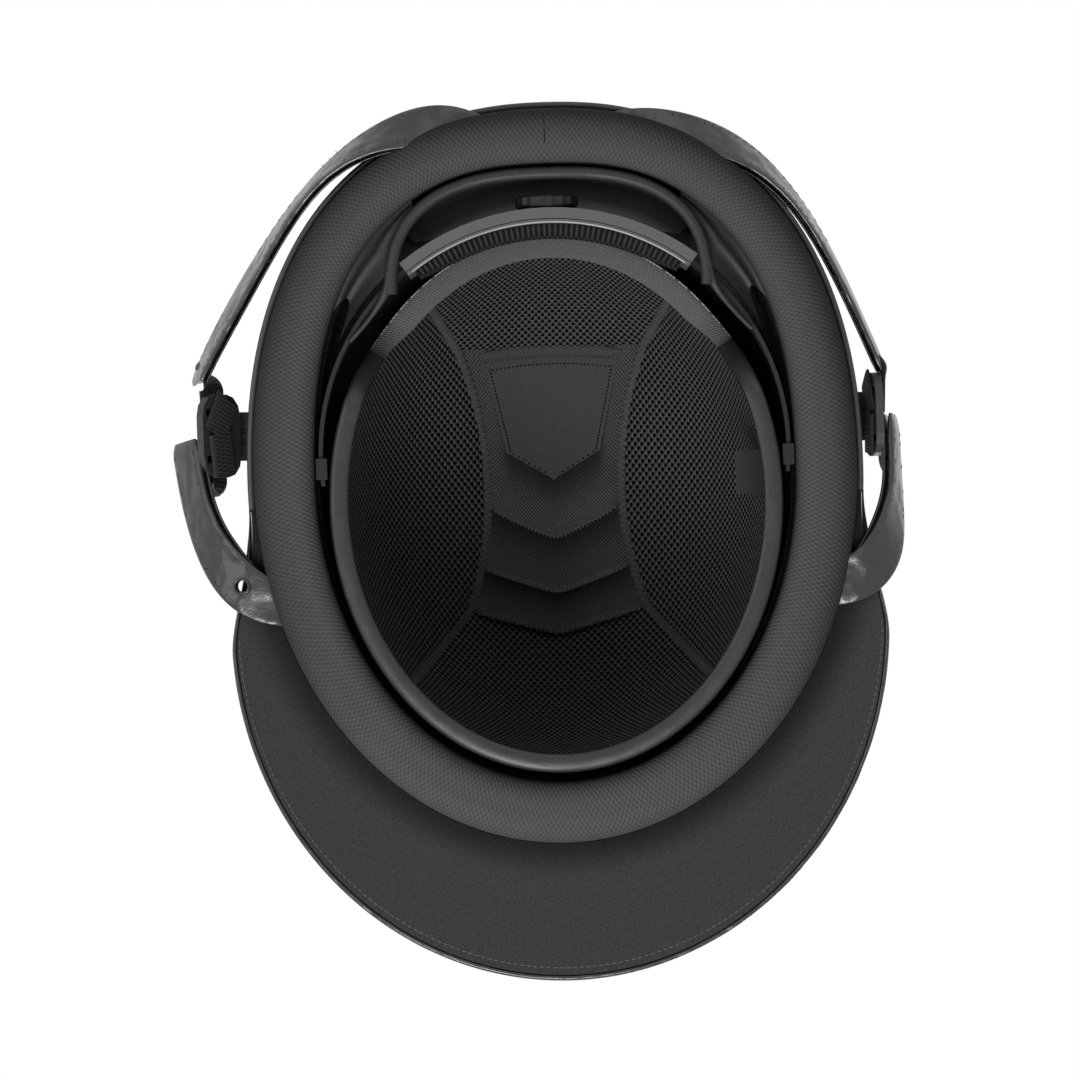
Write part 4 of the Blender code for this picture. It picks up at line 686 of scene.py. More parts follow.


# %% Painted shade and seam of the collar
def collar_painted_shade(way, place):
    """Painted shade: full at the crest, dimmer down both walls; the front faces the light and stays full
    outside.
    """
    front = smooth((-0.04 - place.y) / 0.08)
    outer, inner = smooth((way - 0.024) / 0.024), smooth((0.021 - way) / 0.010)
    return (1.0 - 0.48 * outer * (1.0 - front)) * (1.0 - 0.70 * inner)


shade = collar.data.attributes.new("fold", "FLOAT", "CORNER")
for loop, uv, value in zip(collar.data.loops, collar.data.uv_layers[0].data, shade.data):
    value.value = collar_painted_shade(uv.uv[1], collar.data.vertices[loop.vertex_index].co)
settle(collar, COLLAR, ["rim_collar"])


JOIN_FIRST, JOIN_ROWS = 13.0, 19.0


def join_line(t):
    """Across the underside of the collar at the rear, where its cloth is joined."""
    row = JOIN_FIRST + JOIN_ROWS * t
    low, share = int(row), row % 1.0
    one, two = (collar_section(math.pi / 2, r / COLLAR_ROWS) for r in (low, low + 1))
    return one.lerp(two, share), -UP


stitch_row("collar_join", join_line, 16, 0.0012, 0.0004, NEEDLE)
print("collar:", len(collar.data.polygons), "faces")

# %% [markdown]
# ## Comfort liner
#
# Four mesh panels lean on a dome about the middle of the head, and a smooth crown strip closes it.
# Each is a pad: thin at its seams and fuller in the middle.

# %% Liner shape
CENTRE = -0.0095
LINER_HALF_WIDTH, LINER_HALF_LENGTH, LINER_TOP = 0.086, 0.1035, 0.1335
PAD_FULL, PAD_EDGE, LINER_EDGE, REAR_EDGE = 0.0060, 0.0030, 0.006, 0.036
RISE = (0.028, 0.064)
SEAM, EDGE_GAP = 0.0005, 0.0008
STRIP_REAR, STRIP_FRONT, FRONT_SLOPE = 0.0545, -0.065, 0.30
STRIP_WAIST, STRIP_FLARE = 0.0285, 3.3
CHEVRONS = ((-0.0234, 0.47), (-0.0473, 0.36), (STRIP_FRONT, FRONT_SLOPE))


def liner_outline(angle, outset=0.0):
    return Vector(((LINER_HALF_WIDTH + outset) * math.cos(angle),
                   CENTRE + (LINER_HALF_LENGTH + outset) * math.sin(angle), 0.0))


def liner_edge_height(angle):
    y = liner_outline(angle).y
    return LINER_EDGE + (REAR_EDGE - LINER_EDGE) * smooth((y - RISE[0]) / (RISE[1] - RISE[0]))


def liner_point(angle, share, depth):
    centre = Vector((0.0, CENTRE, 0.0))
    flat = (liner_outline(angle, -depth) - centre) * dome_scale(share) + centre
    return flat + UP * (LINER_TOP - depth) * share


def liner_out(angle, share):
    """Direction from the liner's cloth into the head space."""
    return (liner_point(angle, share, 0.004) - liner_point(angle, share, 0.0)).normalized()


def liner_chart(angle, share):
    """The dome laid flat about its crown, in metres."""
    reach = 0.105 * math.atan2(dome_scale(share), max(share, 1e-6))
    return reach * math.cos(angle), reach * math.sin(angle)


def strip_half_width(y):
    return STRIP_WAIST + STRIP_FLARE * (y - CENTRE * 0.2) ** 2


def in_strip(x, y, margin):
    front = STRIP_FRONT + FRONT_SLOPE * abs(x)
    return abs(x) < strip_half_width(y) + margin and front - margin < y < STRIP_REAR + margin


def strip_share(angle, margin):
    inside, outside = 0.0, 1.0
    ray = liner_outline(angle) - Vector((0.0, CENTRE, 0.0))
    for _ in range(24):
        middle = (inside + outside) / 2.0
        if in_strip(ray.x * middle, CENTRE + ray.y * middle, margin):
            inside = middle
        else:
            outside = middle
    return dome_scale(inside)


def strip_corner():
    """Where the crown strip's front edge meets its side."""
    x = STRIP_WAIST
    for _ in range(20):
        x = strip_half_width(STRIP_FRONT + FRONT_SLOPE * x)
    return x, STRIP_FRONT + FRONT_SLOPE * x


def crown_angle(x, y):
    return math.atan2((y - CENTRE) / LINER_HALF_LENGTH, x / LINER_HALF_WIDTH)


FRONT_SEAM = crown_angle(*strip_corner())
REAR_SEAM = crown_angle(strip_half_width(STRIP_REAR), STRIP_REAR)


# %% Mesh panels
def pillow(u, v):
    """Thickness of a sewn pad at the shares u and v of its face."""
    return PAD_EDGE + (PAD_FULL - PAD_EDGE) * plateau(u, 6) * plateau(v, 6)


def add_panel(name, first, last, columns, rows):
    first, last = first + SEAM / LINER_HALF_WIDTH, last - SEAM / LINER_HALF_WIDTH
    ends = []
    for j in range(columns + 1):
        angle = first + (last - first) * j / columns
        low = (liner_edge_height(angle) + EDGE_GAP) / (LINER_TOP - PAD_EDGE)
        ends.append((angle, math.asin(low ** (DOME_FULLNESS / 2)),
                     math.asin(strip_share(angle, SEAM) ** (DOME_FULLNESS / 2))))

    def spot(u, v):
        angle, low, high = ends[round(u * columns)]
        return angle, math.sin(low + (high - low) * v) ** (2.0 / DOME_FULLNESS)

    panel = pad(name, columns, rows,
                lambda u, v: liner_point(*spot(u, v), pillow(u, v)),
                lambda u, v: liner_point(*spot(u, v), 0.0),
                lambda u, v: liner_chart(*spot(u, v)))
    settle(panel, SPACER, [name.replace("panel", "liner")])


add_panel("panel_left", FRONT_SEAM, REAR_SEAM, 72, 40)
add_panel("panel_right", math.pi - REAR_SEAM, math.pi - FRONT_SEAM, 72, 40)
add_panel("panel_front", -math.pi - FRONT_SEAM, FRONT_SEAM, 72, 34)
add_panel("panel_rear", REAR_SEAM, math.pi - REAR_SEAM, 64, 30)


# %% [markdown]
# The crown strip is sewn in three steps. Each step swells towards the front and ends in a soft lip that
# overhangs the next one, so the seams between them lie in shadow. Painted shade darkens each step towards
# its rear as well.

# %% Crown pads
def pad_point(x, y, depth):
    share = dome_scale(math.hypot(x / LINER_HALF_WIDTH, (y - CENTRE) / LINER_HALF_LENGTH))
    return liner_point(crown_angle(x, y), share, depth)


def pad_out(x, y):
    return (pad_point(x, y, 0.004) - pad_point(x, y, 0.0)).normalized()


def pad_spot(x, y, depth):
    """A place on a pad and the direction out of its cloth."""
    return pad_point(x, y, depth), pad_out(x, y)


def chevron_line(index, x):
    if index < 0:
        return STRIP_REAR
    apex, slope = CHEVRONS[index]
    return apex + slope * math.hypot(x, 0.003)


def crown_spot(index, u, v):
    margin = SEAM / 2
    x = centred(u) * STRIP_WAIST
    for _ in range(8):
        rear = chevron_line(index - 1, x) - margin
        front = chevron_line(index, x) + margin
        y = rear + (front - rear) * v
        x = centred(u) * (strip_half_width(y) - margin)
    return x, y


CROWN_LOW, CROWN_SWELL, LIP_ROUND, LIP_REACH = 0.0026, 0.0062, 0.0018, 0.0030
SLOPE_SHARE, SLOPE_POWER = 0.7, 1.5


def step_depth(x, y):
    """Depth on the rear step, low at its rear seam and full at its lip."""
    across = 1.0 - (x / strip_half_width(y)) ** 8
    share = min(max((STRIP_REAR - y) / (STRIP_REAR - chevron_line(0, x)), 0.0), 1.0)
    return CROWN_LOW + CROWN_SWELL * across * share ** SLOPE_POWER


def step_point(index, u, v):
    """A step's section: a slope up to a rounded lip, which hangs over the start of the next step."""
    across = plateau(u, 8)
    length = crown_spot(index, u, 0.0)[1] - crown_spot(index, u, 1.0)[1]
    top, curl = CROWN_LOW + CROWN_SWELL * across, LIP_ROUND * (0.3 + 0.7 * across)
    centre = length + LIP_REACH * across - curl
    if v < SLOPE_SHARE:
        rise = v / SLOPE_SHARE
        way, depth = centre * rise, CROWN_LOW + CROWN_SWELL * across * rise ** SLOPE_POWER
    else:
        turn = math.pi / 2 - math.pi * (v - SLOPE_SHARE) / (1.0 - SLOPE_SHARE)
        way, depth = centre + curl * math.cos(turn), top - curl + curl * math.sin(turn)
    return pad_spot(*crown_spot(index, u, way / length), depth)


# %% Crown steps
PATCH_TOP, PATCH_SHOULDER, PATCH_POINT, PATCH_ARCH = 0.0495, 0.0133, 0.001, 0.0022
PATCH_HALF_TOP, PATCH_HALF_SHOULDER = 0.028, 0.021
STEP_SHADE_DIM, SIDE_SHADE_DIM = 0.26, 0.78


def patch_front(x):
    """The shield's front edges, from its point up to its shoulders."""
    share = min(abs(x) / PATCH_HALF_SHOULDER, 1.0)
    return PATCH_POINT + (PATCH_SHOULDER - PATCH_POINT) * share


def step_painted_shade(index, place):
    """Painted shade: open at the lip, dim at the rear, where the cloth before it hangs over."""
    front = chevron_line(index, place.x)
    rear = chevron_line(index - 1, place.x) if index else patch_front(place.x)
    shade = STEP_SHADE_DIM + (1.0 - STEP_SHADE_DIM) * smooth((rear - place.y) / (rear - front) / 0.85)
    if index:
        return shade
    beside = smooth((abs(place.x) - PATCH_HALF_SHOULDER + 0.004) / 0.006)
    behind = smooth((place.y - rear) / 0.002)
    return shade + (max(shade, SIDE_SHADE_DIM) - shade) * max(beside, behind)


def add_crown_pad(index, name, rows):
    piece = pad(name, 64, rows, lambda u, v: step_point(index, u, v)[0],
                lambda u, v: pad_point(*crown_spot(index, u, v), 0.0),
                lambda u, v: crown_spot(index, u, v))
    store_painted_shade(piece, lambda place: step_painted_shade(index, place))
    settle(piece, STEP, [name.replace("step", "pad")])
    stitch_row(name + "_lip", lambda t: step_point(index, 0.03 + 0.94 * t, 0.79), 34, 0.0024, 0.0007,
               THREAD, math.pi / 2)


add_crown_pad(0, "crown_step_rear", 48)
add_crown_pad(1, "crown_step_middle", 44)
add_crown_pad(2, "crown_step_front", 44)


# %% Bare shield patch
def patch_half_width(y):
    if y > PATCH_SHOULDER:
        share = (y - PATCH_SHOULDER) / (PATCH_TOP - PATCH_SHOULDER)
        return PATCH_HALF_SHOULDER + (PATCH_HALF_TOP - PATCH_HALF_SHOULDER) * share
    return max(PATCH_HALF_SHOULDER * (y - PATCH_POINT) / (PATCH_SHOULDER - PATCH_POINT), 0.0006)


def patch_depth(x, y):
    """The shield's face: flat on the step at its top, standing clear of it towards its point."""
    return step_depth(x, y) + 0.0007 + 0.0019 * smooth((PATCH_TOP - y) / (PATCH_TOP - PATCH_SHOULDER))


def patch_spot(u, v):
    y = PATCH_TOP + (PATCH_POINT - PATCH_TOP) * v
    return centred(u) * patch_half_width(y), y + PATCH_ARCH * plateau(u, 2) * (1.0 - v) ** 4


def patch_face(u, v):
    x, y = patch_spot(u, v)
    return pad_point(x, y, patch_depth(x, y) - 0.0005 * (1.0 - plateau(u, 20) * plateau(v, 30)))


patch = pad("bare_patch", 40, 48, patch_face,
            lambda u, v: pad_point(*patch_spot(u, v), step_depth(*patch_spot(u, v)) - 0.0006), patch_spot)
settle(patch, PATCH, ["shield_patch"])

# %% Patch stitches and ridge
PATCH_INSET, TOP_INSET = 0.0017, 0.0025


def on_patch(x, y):
    return pad_spot(x, y, patch_depth(x, y) + 0.0001)


def patch_edge(t):
    """A line just inside the shield's edge: down the left, to the point and up the right."""
    half = t * 2.0 if t < 0.5 else (1.0 - t) * 2.0
    y = PATCH_TOP - PATCH_INSET + (PATCH_POINT - PATCH_TOP + PATCH_INSET * 2.6) * half
    x = max(patch_half_width(y) - PATCH_INSET, 0.0)
    return on_patch(x if t < 0.5 else -x, y)


def patch_top_line(t):
    return on_patch(centred(t) * (PATCH_HALF_TOP - TOP_INSET),
                    PATCH_TOP - TOP_INSET + PATCH_ARCH * plateau(t, 2))


def ridge_place(u, v):
    """A padded ridge along the shield's top edge."""
    x = centred(u) * (PATCH_HALF_TOP + 0.003)
    y = PATCH_TOP + 0.0026 + PATCH_ARCH * plateau(u, 2)
    turn, full = math.tau * v, 0.0023 * plateau(u, 6) + 0.0002
    return pad_point(x, y + full * math.cos(turn), step_depth(x, y) + 0.8 * full * math.sin(turn))


stitch_row("patch_stitches", patch_edge, 64, 0.0011, 0.0007, NEEDLE)
stitch_row("patch_top_stitches", patch_top_line, 30, 0.0011, 0.0007, NEEDLE)
ridge = skin("patch_ridge", 48, 12, ridge_place, (0.06, 0.010), fill=True)
settle(ridge, PATCH)


# %% [markdown]
# Overlock seams join the panels to each other and to the crown strip. Each is a thin cord with short
# slanted stitches over it.

# %% Overlock seams
CORD_STEP, OVERLOCK_STEP = 0.0012, 0.0015


def add_seam(name, line, length, radius=0.0015):
    def section(t):
        spot, out = line(t)
        ahead = (line(min(t + 0.01, 1.0))[0] - line(max(t - 0.01, 0.0))[0]).normalized()
        return spot, ahead.cross(out).normalized() * radius * 1.3, out * radius * 0.6

    cord = tube(name, int(length / CORD_STEP), 8, section, (length, 0.007))
    settle(cord, JERSEY)
    stitch_row(name + "_stitches", lambda t: (line(t)[0] + line(t)[1] * radius * 0.6, line(t)[1]),
               int(length / OVERLOCK_STEP), radius * 3.2, 0.0006, THREAD, math.pi / 2, 0.45)


def panel_seam(angle):
    low = (liner_edge_height(angle) + 0.002) / LINER_TOP
    high = strip_share(angle, 0.0)
    turn_low, turn_high = [math.asin(s ** (DOME_FULLNESS / 2)) for s in (low, high)]

    def line(t):
        share = math.sin(turn_low + (turn_high - turn_low) * t) ** (2.0 / DOME_FULLNESS)
        return liner_point(angle, share, PAD_EDGE), liner_out(angle, share)

    return line


for seam_name, seam_angle in (("front_left", FRONT_SEAM), ("rear_left", REAR_SEAM),
                              ("rear_right", math.pi - REAR_SEAM), ("front_right", math.pi - FRONT_SEAM)):
    add_seam("seam_" + seam_name, panel_seam(seam_angle), 0.075)


def strip_side(side):
    front_y = strip_corner()[1]

    def line(t):
        y = STRIP_REAR + (front_y - STRIP_REAR) * t
        return pad_spot(side * strip_half_width(y), y, PAD_EDGE)

    return line


def rear_seam(t):
    return pad_spot(*crown_spot(0, t, 0.0), PAD_EDGE * 0.7)


add_seam("seam_strip_left", strip_side(1.0), 0.125)
add_seam("seam_strip_right", strip_side(-1.0), 0.125)
add_seam("seam_strip_rear", rear_seam, 0.066, 0.0006)


# %% Edge binding and rear tape
def edge_ring(angle, turn, width, height, power):
    """Section of a strip just under the liner's lower edge."""
    middle = liner_outline(angle, -width / 2)
    out = (liner_outline(angle) - liner_outline(angle, -width)).normalized()
    level = liner_edge_height(angle) - height / 2
    across, up = signed_power(math.cos(turn), power), signed_power(math.sin(turn), power)
    return middle + out * across * width / 2 + UP * (level + up * height / 2)


TAPE_CORNER = math.asin((0.051 - CENTRE) / LINER_HALF_LENGTH)
BIND_STEPS, BIND_WIDTH, BIND_THICK = 220, 0.0074, 0.0044
BIND_ANGLES, BIND_LENGTH = even_angles(liner_outline, -math.pi - TAPE_CORNER, TAPE_CORNER, BIND_STEPS)


def binding_place(u, v):
    return edge_ring(BIND_ANGLES[round(u * BIND_STEPS)], math.tau * v, BIND_WIDTH, BIND_THICK, 0.8)


binding = skin("edge_binding", BIND_STEPS, 16, binding_place, (BIND_LENGTH, 0.017), fill=True)
settle(binding, BINDING, ["liner_binding"])

TAPE_STEPS, TAPE_THICK = 110, 0.0024
TAPE_ANGLES, TAPE_LENGTH = even_angles(liner_outline, TAPE_CORNER, math.pi - TAPE_CORNER, TAPE_STEPS)


def tape_place(u, v):
    """The tape narrows at both ends to less than the binding's width."""
    width = 0.0068 + 0.0027 * smooth((0.5 - abs(u - 0.5)) / 0.12)
    return edge_ring(TAPE_ANGLES[round(u * TAPE_STEPS)], math.tau * v, width, TAPE_THICK, 0.6)


tape = skin("rear_tape", TAPE_STEPS, 20, tape_place, (TAPE_LENGTH, 0.022), fill=True)
settle(tape, KNIT, ["liner_tape"])


def tape_edge_line(t):
    angle = TAPE_ANGLES[round(t * TAPE_STEPS)]
    return liner_outline(angle, -0.0006) + UP * (liner_edge_height(angle) - 0.0026), -UP


stitch_row("tape_stitches", tape_edge_line, 96, 0.0017, 0.0005, BRIGHT_THREAD_AND_HIGHLIGHT)

# %% Size tag, bare
TAG_LONG, TAG_WIDE, TAG_THICK, TAG_LIFT, TAG_STEPS = 0.017, 0.0165, 0.0007, 0.0012, 13
TAG_ANGLE = math.pi - math.asin((-0.001 - CENTRE) / LINER_HALF_LENGTH)
tag_foot = liner_point(TAG_ANGLE, LINER_EDGE / LINER_TOP, 0.0032 + TAG_LIFT)
tag_foot.z = LINER_EDGE + TAG_LIFT


def tag_place(u, v):
    lean = math.radians(34.0 + 10.0 * u * u)
    rise = Vector((math.sin(lean), 0.0, math.cos(lean)))
    thick = Vector((math.cos(lean), 0.0, -math.sin(lean)))
    row = round(v * 2 * TAG_STEPS)
    front = row <= TAG_STEPS
    share = (row if front else 2 * TAG_STEPS - row) / TAG_STEPS
    return (tag_foot + rise * TAG_LONG * u + thick * (TAG_THICK if front else 0.0)
            + Vector((0, TAG_WIDE * (share - 0.5), 0)))


tag = skin("bare_tag", 14, 2 * TAG_STEPS, tag_place, (TAG_LONG, 2 * TAG_WIDE), fill=True)
settle(tag, TAG, ["size_tag"])
print("liner: panels, crown steps, patch, seams, binding, tape and tag")

# %% [markdown]
# ## Nape pocket and fit cradle
#
# Behind the cradle a leatherette lining goes up and then slopes in over it, so from below it shows
# as a grey band. Its lower edge is bound with a round bead. The cradle's housing, bands and dial are
# the CAD parts; the ribbed pad on its head side is made here and rides on the cradle.

# %% Nape lining
NAPE_HALF, NAPE_FOOT, NAPE_APEX, NAPE_SQUARE = 0.060, 0.070, 0.1144, 2.6
BEAD_SIZE, BEAD_HEIGHT = 0.0046, 0.0043
LINING_TURN, LINING_THICK = math.radians(62.0), 0.0008
LINING_WALL = ((0.0, 0.0070), (0.0, 0.014), (-0.0003, 0.022), (-0.0012, 0.0285), (-0.0034, 0.0335),
               (-0.0070, 0.0380), (-0.0110, 0.0420), (-0.0150, 0.0455))
LINING_ROWS = 2 * len(LINING_WALL)


def nape_point(turn):
    power = 2.0 / NAPE_SQUARE
    return Vector((NAPE_HALF * signed_power(math.sin(turn), power),
                   NAPE_FOOT + (NAPE_APEX - NAPE_FOOT) * signed_power(math.cos(turn), power), 0.0))


def nape_normal(turn):
    low, high = max(turn - 0.01, -math.pi / 2), min(turn + 0.01, math.pi / 2)
    along = nape_point(high) - nape_point(low)
    return Vector((-along.y, along.x, 0.0)).normalized()


def lining_place(u, v):
    """Up the wall, then in over the cradle, and back along the outside."""
    turn = LINING_TURN * centred(u)
    row = round(v * LINING_ROWS) % LINING_ROWS
    back = row >= len(LINING_WALL)
    inset, height = LINING_WALL[LINING_ROWS - 1 - row if back else row]
    inset *= 1.0 - centred(u) ** 6 * 0.6
    return nape_point(turn) + nape_normal(turn) * (inset + (LINING_THICK if back else 0.0)) + UP * height


lining = skin("nape_lining", 90, LINING_ROWS, lining_place, (0.13, 0.08), fill=True)
settle(lining, LINING, ["nape_wall"])


def piping_section(u):
    turn = math.pi / 2 * centred(u) * 0.999
    return nape_point(turn) + UP * BEAD_HEIGHT, nape_normal(turn) * BEAD_SIZE / 2, UP * BEAD_SIZE / 2


piping = tube("nape_piping", 140, 14, piping_section, (0.19, 0.0145))
settle(piping, PIPING, ["nape_binding"])

# %% Ribbed cradle pad and painted highlight on the housing's edge
FIT_RADIUS, FIT_CENTRE, FIT_HEIGHT = 0.089, 0.0094, 0.015
PLATE_INNER = FIT_RADIUS - 0.0008 - 0.0006 - 0.0016
RIB_TURN, HIGHLIGHT_TURN = math.radians(36.0), math.radians(36.8)
RIB_TALL, RIB_DEEP, HIGHLIGHT_SIZE = 0.020, 0.0045, 0.0004


def fit_point(angle, radius, height):
    return Vector((radius * math.sin(angle), FIT_CENTRE + radius * math.cos(angle), height))


def cradle_spot(u, v, deep):
    swell = plateau(u, 8) * plateau(v, 6)
    return fit_point(RIB_TURN * centred(u), PLATE_INNER - GAP - deep * RIB_DEEP * (0.5 + 0.5 * swell),
                     FIT_HEIGHT + RIB_TALL * (v - 0.5))


ribs = pad("cradle_ribs", 120, 20, lambda u, v: cradle_spot(u, v, 1.0), lambda u, v: cradle_spot(u, v, 0.0),
           lambda u, v: (u * 0.107, v * RIB_TALL))
settle(ribs, RIBBED, ["cradle_pad"], "cradle")


# The housing's bright lip is a painted highlight: a bright cord along its inner edge.
def highlight_section(u):
    angle = HIGHLIGHT_TURN * centred(u)
    out = Vector((math.sin(angle), math.cos(angle), 0.0))
    return fit_point(angle, PLATE_INNER + 0.0005, 0.0041), out * HIGHLIGHT_SIZE, UP * HIGHLIGHT_SIZE


lip = tube("housing_painted_highlight", 90, 8, highlight_section, (0.11, 0.003))
settle(lip, BRIGHT_THREAD_AND_HIGHLIGHT, (), "cradle")

# %% [markdown]
# Beside the pocket's feet a gusset fills the gap to the collar, and the piping runs on along the side
# band as a thin tail.

# %% Gussets and piping tails
SIDES = ((1, "left"), (-1, "right"))
GUSSET_TURN, GUSSET_SWEEP, GUSSET_END = 52.0, 30.0, math.radians(62.0)
GUSSET_CLEAR, GUSSET_RISE, GUSSET_THICK = 0.0030, 0.0060, 0.0009
GUSSET_WALL = ((0.055, 0.099), (0.089, 0.048))
TAIL_WAY = ((0.0600, 0.0790), (0.0600, 0.0690), (0.0765, 0.0530))


def gusset_spot(side, u, v):
    """From the piping's foot and past the side band, out to the collar's inner wall."""
    u *= 1.0 - 0.18 * math.sin(math.pi * v)
    near = nape_point(side * math.radians(GUSSET_TURN + GUSSET_SWEEP * min(u * 2.0, 1.0)))
    near += UP * (BEAD_HEIGHT + 0.0006)
    if u > 0.5:
        share = centred(u)
        reach, angle = math.hypot(near.x, near.y - FIT_CENTRE), math.atan2(near.x, near.y - FIT_CENTRE)
        angle += (side * GUSSET_END - angle) * share
        near = fit_point(angle, reach + (FIT_RADIUS + GUSSET_CLEAR - reach) * share,
                         near.z + GUSSET_RISE * share)
    top, foot = (Vector((side * x, y)) for x, y in GUSSET_WALL)
    aim = top.lerp(foot, u)
    far = plan(math.atan2(aim.y, aim.x), *OPENING, OPENING_SQUARENESS) + UP * (0.0090 + 0.0035 * u)
    sag = 0.0016 * math.sin(math.pi * v) - 0.0012 * math.exp(-((v - 0.62) / 0.13) ** 2)
    return near.lerp(far, v) + UP * sag


def tail_section(side, u):
    """From inside the piping's foot round to the side band, ever thinner."""
    start, knee, end = (Vector((side * x, y, 0.0)) for x, y in TAIL_WAY)
    middle = start * (1.0 - u) ** 2 + knee * 2.0 * u * (1.0 - u) + end * u * u
    ahead = ((knee - start) * (1.0 - u) + (end - knee) * u).normalized()
    size = BEAD_SIZE / 2 * (1.0 - 0.62 * smooth(u * 1.3))
    return (middle + UP * (BEAD_HEIGHT + 0.0030 * u * u), Vector((-ahead.y, ahead.x, 0.0)) * size,
            UP * size)


for side, label in SIDES:
    gusset = pad("gusset_" + label, 40, 20, lambda u, v: gusset_spot(side, u, v),
                 lambda u, v: gusset_spot(side, u, v) + UP * GUSSET_THICK, lambda u, v: (u * 0.05, v * 0.02))
    settle(gusset, PIPING)
for side, label in SIDES:
    tail = tube("piping_tail_" + label, 40, 14, lambda u: tail_section(side, u), (0.023, 0.0145))
    settle(tail, PIPING)
print("nape: lining, piping, gussets, cradle pad and the housing's bright lip")

# %% [markdown]
# ## Harness
#
# The four straps start between collar and trim, turn over the rim and stand up beside the shell.
# Each follows a route: points beside the rim, and a tilt of its width from level to upright. The front
# routes are those of the CAD model. The rear ones lie a little off it, where the photo shows them.

# %% Strap routes
STRAPS = {
    "strap_rear_left": (
        (80.0, -0.0135, -0.0005, 0.0), (76.0, -0.0056, -0.0030, 4.0), (71.0, -0.0004, -0.0048, 20.0),
        (62.0, 0.0040, -0.0030, 54.0), (54.5, 0.0070, 0.0020, 71.0), (45.0, 0.0079, 0.0080, 78.0),
        (36.0, 0.0082, 0.0105, 73.0), (25.0, 0.0120, 0.0130, 68.0), (14.0, 0.0205, 0.0145, 69.0)),
    "strap_rear_right": (
        (100.0, -0.0135, -0.0005, 0.0), (104.0, -0.0090, -0.0030, 4.0), (109.0, -0.0058, -0.0048, 18.0),
        (118.0, -0.0002, -0.0030, 40.0), (126.0, 0.0040, 0.0020, 58.0), (135.0, 0.0050, 0.0080, 74.0),
        (144.0, 0.0052, 0.0105, 77.0), (154.0, 0.0056, 0.0130, 79.0), (164.5, 0.0086, 0.0145, 82.0)),
    "strap_front_left": (
        (-20.5, -0.0150, -0.0005, 0.0), (-19.6, -0.0070, -0.0030, 0.0), (-17.8, 0.0025, -0.0045, 0.0),
        (-15.0, 0.0072, -0.0042, 8.0), (-12.5, 0.0110, -0.0015, 25.0), (-8.8, 0.0156, 0.0040, 42.0),
        (-5.2, 0.0187, 0.0085, 52.0), (-1.0, 0.0210, 0.0120, 54.0)),
    "strap_front_right": (
        (200.0, -0.0150, -0.0005, 0.0), (199.0, -0.0070, -0.0030, 0.0), (197.4, 0.0030, -0.0048, 3.0),
        (194.0, 0.0084, -0.0030, 22.0), (189.7, 0.0112, 0.0025, 52.0), (185.4, 0.0123, 0.0085, 70.0),
        (182.8, 0.0122, 0.0115, 74.0)),
}
STRAP_WIDTH = 0.018


def rim_station(angle, outset, height):
    turn = math.radians(angle)
    along = rim(turn + 0.002, TRIM_OUTSET) - rim(turn - 0.002, TRIM_OUTSET)
    out = Vector((along.y, -along.x, 0.0)).normalized()
    return rim(turn, TRIM_OUTSET) + out * outset + UP * (SEAM_HEIGHT + height)


def blend_points(points, share):
    """A smooth curve through a list of vectors or numbers."""
    spans = len(points) - 1
    place = min(max(share, 0.0), 1.0) * spans
    i = min(int(place), spans - 1)
    t = place - i
    before = points[i - 1] if i > 0 else points[0] * 2 - points[1]
    after = points[i + 2] if i + 2 <= spans else points[spans] * 2 - points[spans - 1]
    start, end = points[i], points[i + 1]
    return 0.5 * (start * 2 + (end - before) * t + (before * 2 - start * 5 + end * 4 - after) * t * t
                  + (start * 3 - before - end * 3 + after) * t * t * t)


def strap_frame(route, share):
    """Middle of a strap at a share of its route, with its direction, width and face."""
    points = [rim_station(angle, outset, height) for angle, outset, height, _ in route]
    spot = blend_points(points, share)
    along = (blend_points(points, share + 0.01) - blend_points(points, share - 0.01)).normalized()
    level = Vector((along.y, -along.x, 0.0)).normalized()
    if level.dot(spot) < 0:
        level = -level
    tilt = math.radians(blend_points([tilt for _, _, _, tilt in route], share))
    across = level * math.cos(tilt) + UP * math.sin(tilt)
    across = (across - along * across.dot(along)).normalized()
    return spot, along, across, along.cross(across).normalized()


def ribbon_spot(turn, width, thick):
    """Section of a flat strap with round edges and a slight swell."""
    a = width / 2 * signed_power(math.cos(turn), 0.28)
    f = thick / 2 * signed_power(math.sin(turn), 0.55) * (0.86 + 0.14 * (1.0 - abs(2 * a / width) ** 4))
    return a, f


def ribbon(name, steps, section, width, thick, size):
    """A flat strap: section(u) gives its middle, its width and its face."""
    def place(u, v):
        middle, across, face = section(u)
        a, f = ribbon_spot(math.tau * v, width, thick)
        return middle + across * a + face * f

    return skin(name, steps, 24, place, size, fill=True)


# %% [markdown]
# A strap is a folded sleeve: a full outer layer and a thinner lining on the helmet's side, with a
# groove between them. Both lie flat at the root and fill out where the strap stands up. The sleeves
# reach on over the webbing, the front ones up to the divider.

# %% Leatherette straps
SLEEVE_TIPS = {
    "strap_rear_left": ((12.4, 0.0204, 0.0146, 69.0),),
    "strap_rear_right": ((168.5, 0.0112, 0.0148, 80.0),),
    "strap_front_left": ((2.0, 0.0228, 0.0135, 54.0), (4.8, 0.0240, 0.0145, 53.0)),
    "strap_front_right": ((179.0, 0.0124, 0.0135, 76.0), (174.5, 0.0126, 0.0145, 77.0)),
}
SLEEVE_STEPS, EASE_REACH, EASE_PASSES = 96, 8, 3
STAND_START, STAND_SPAN = 0.22, 0.30
ROOT_THICK, ROOT_SHIFT, STAND_SHIFT = 0.0022, 0.0003, 0.0009
SEW_START, SEW_SPAN, SEW_STEP, SEW_EDGE = 0.24, 0.72, 0.0032, 0.0066


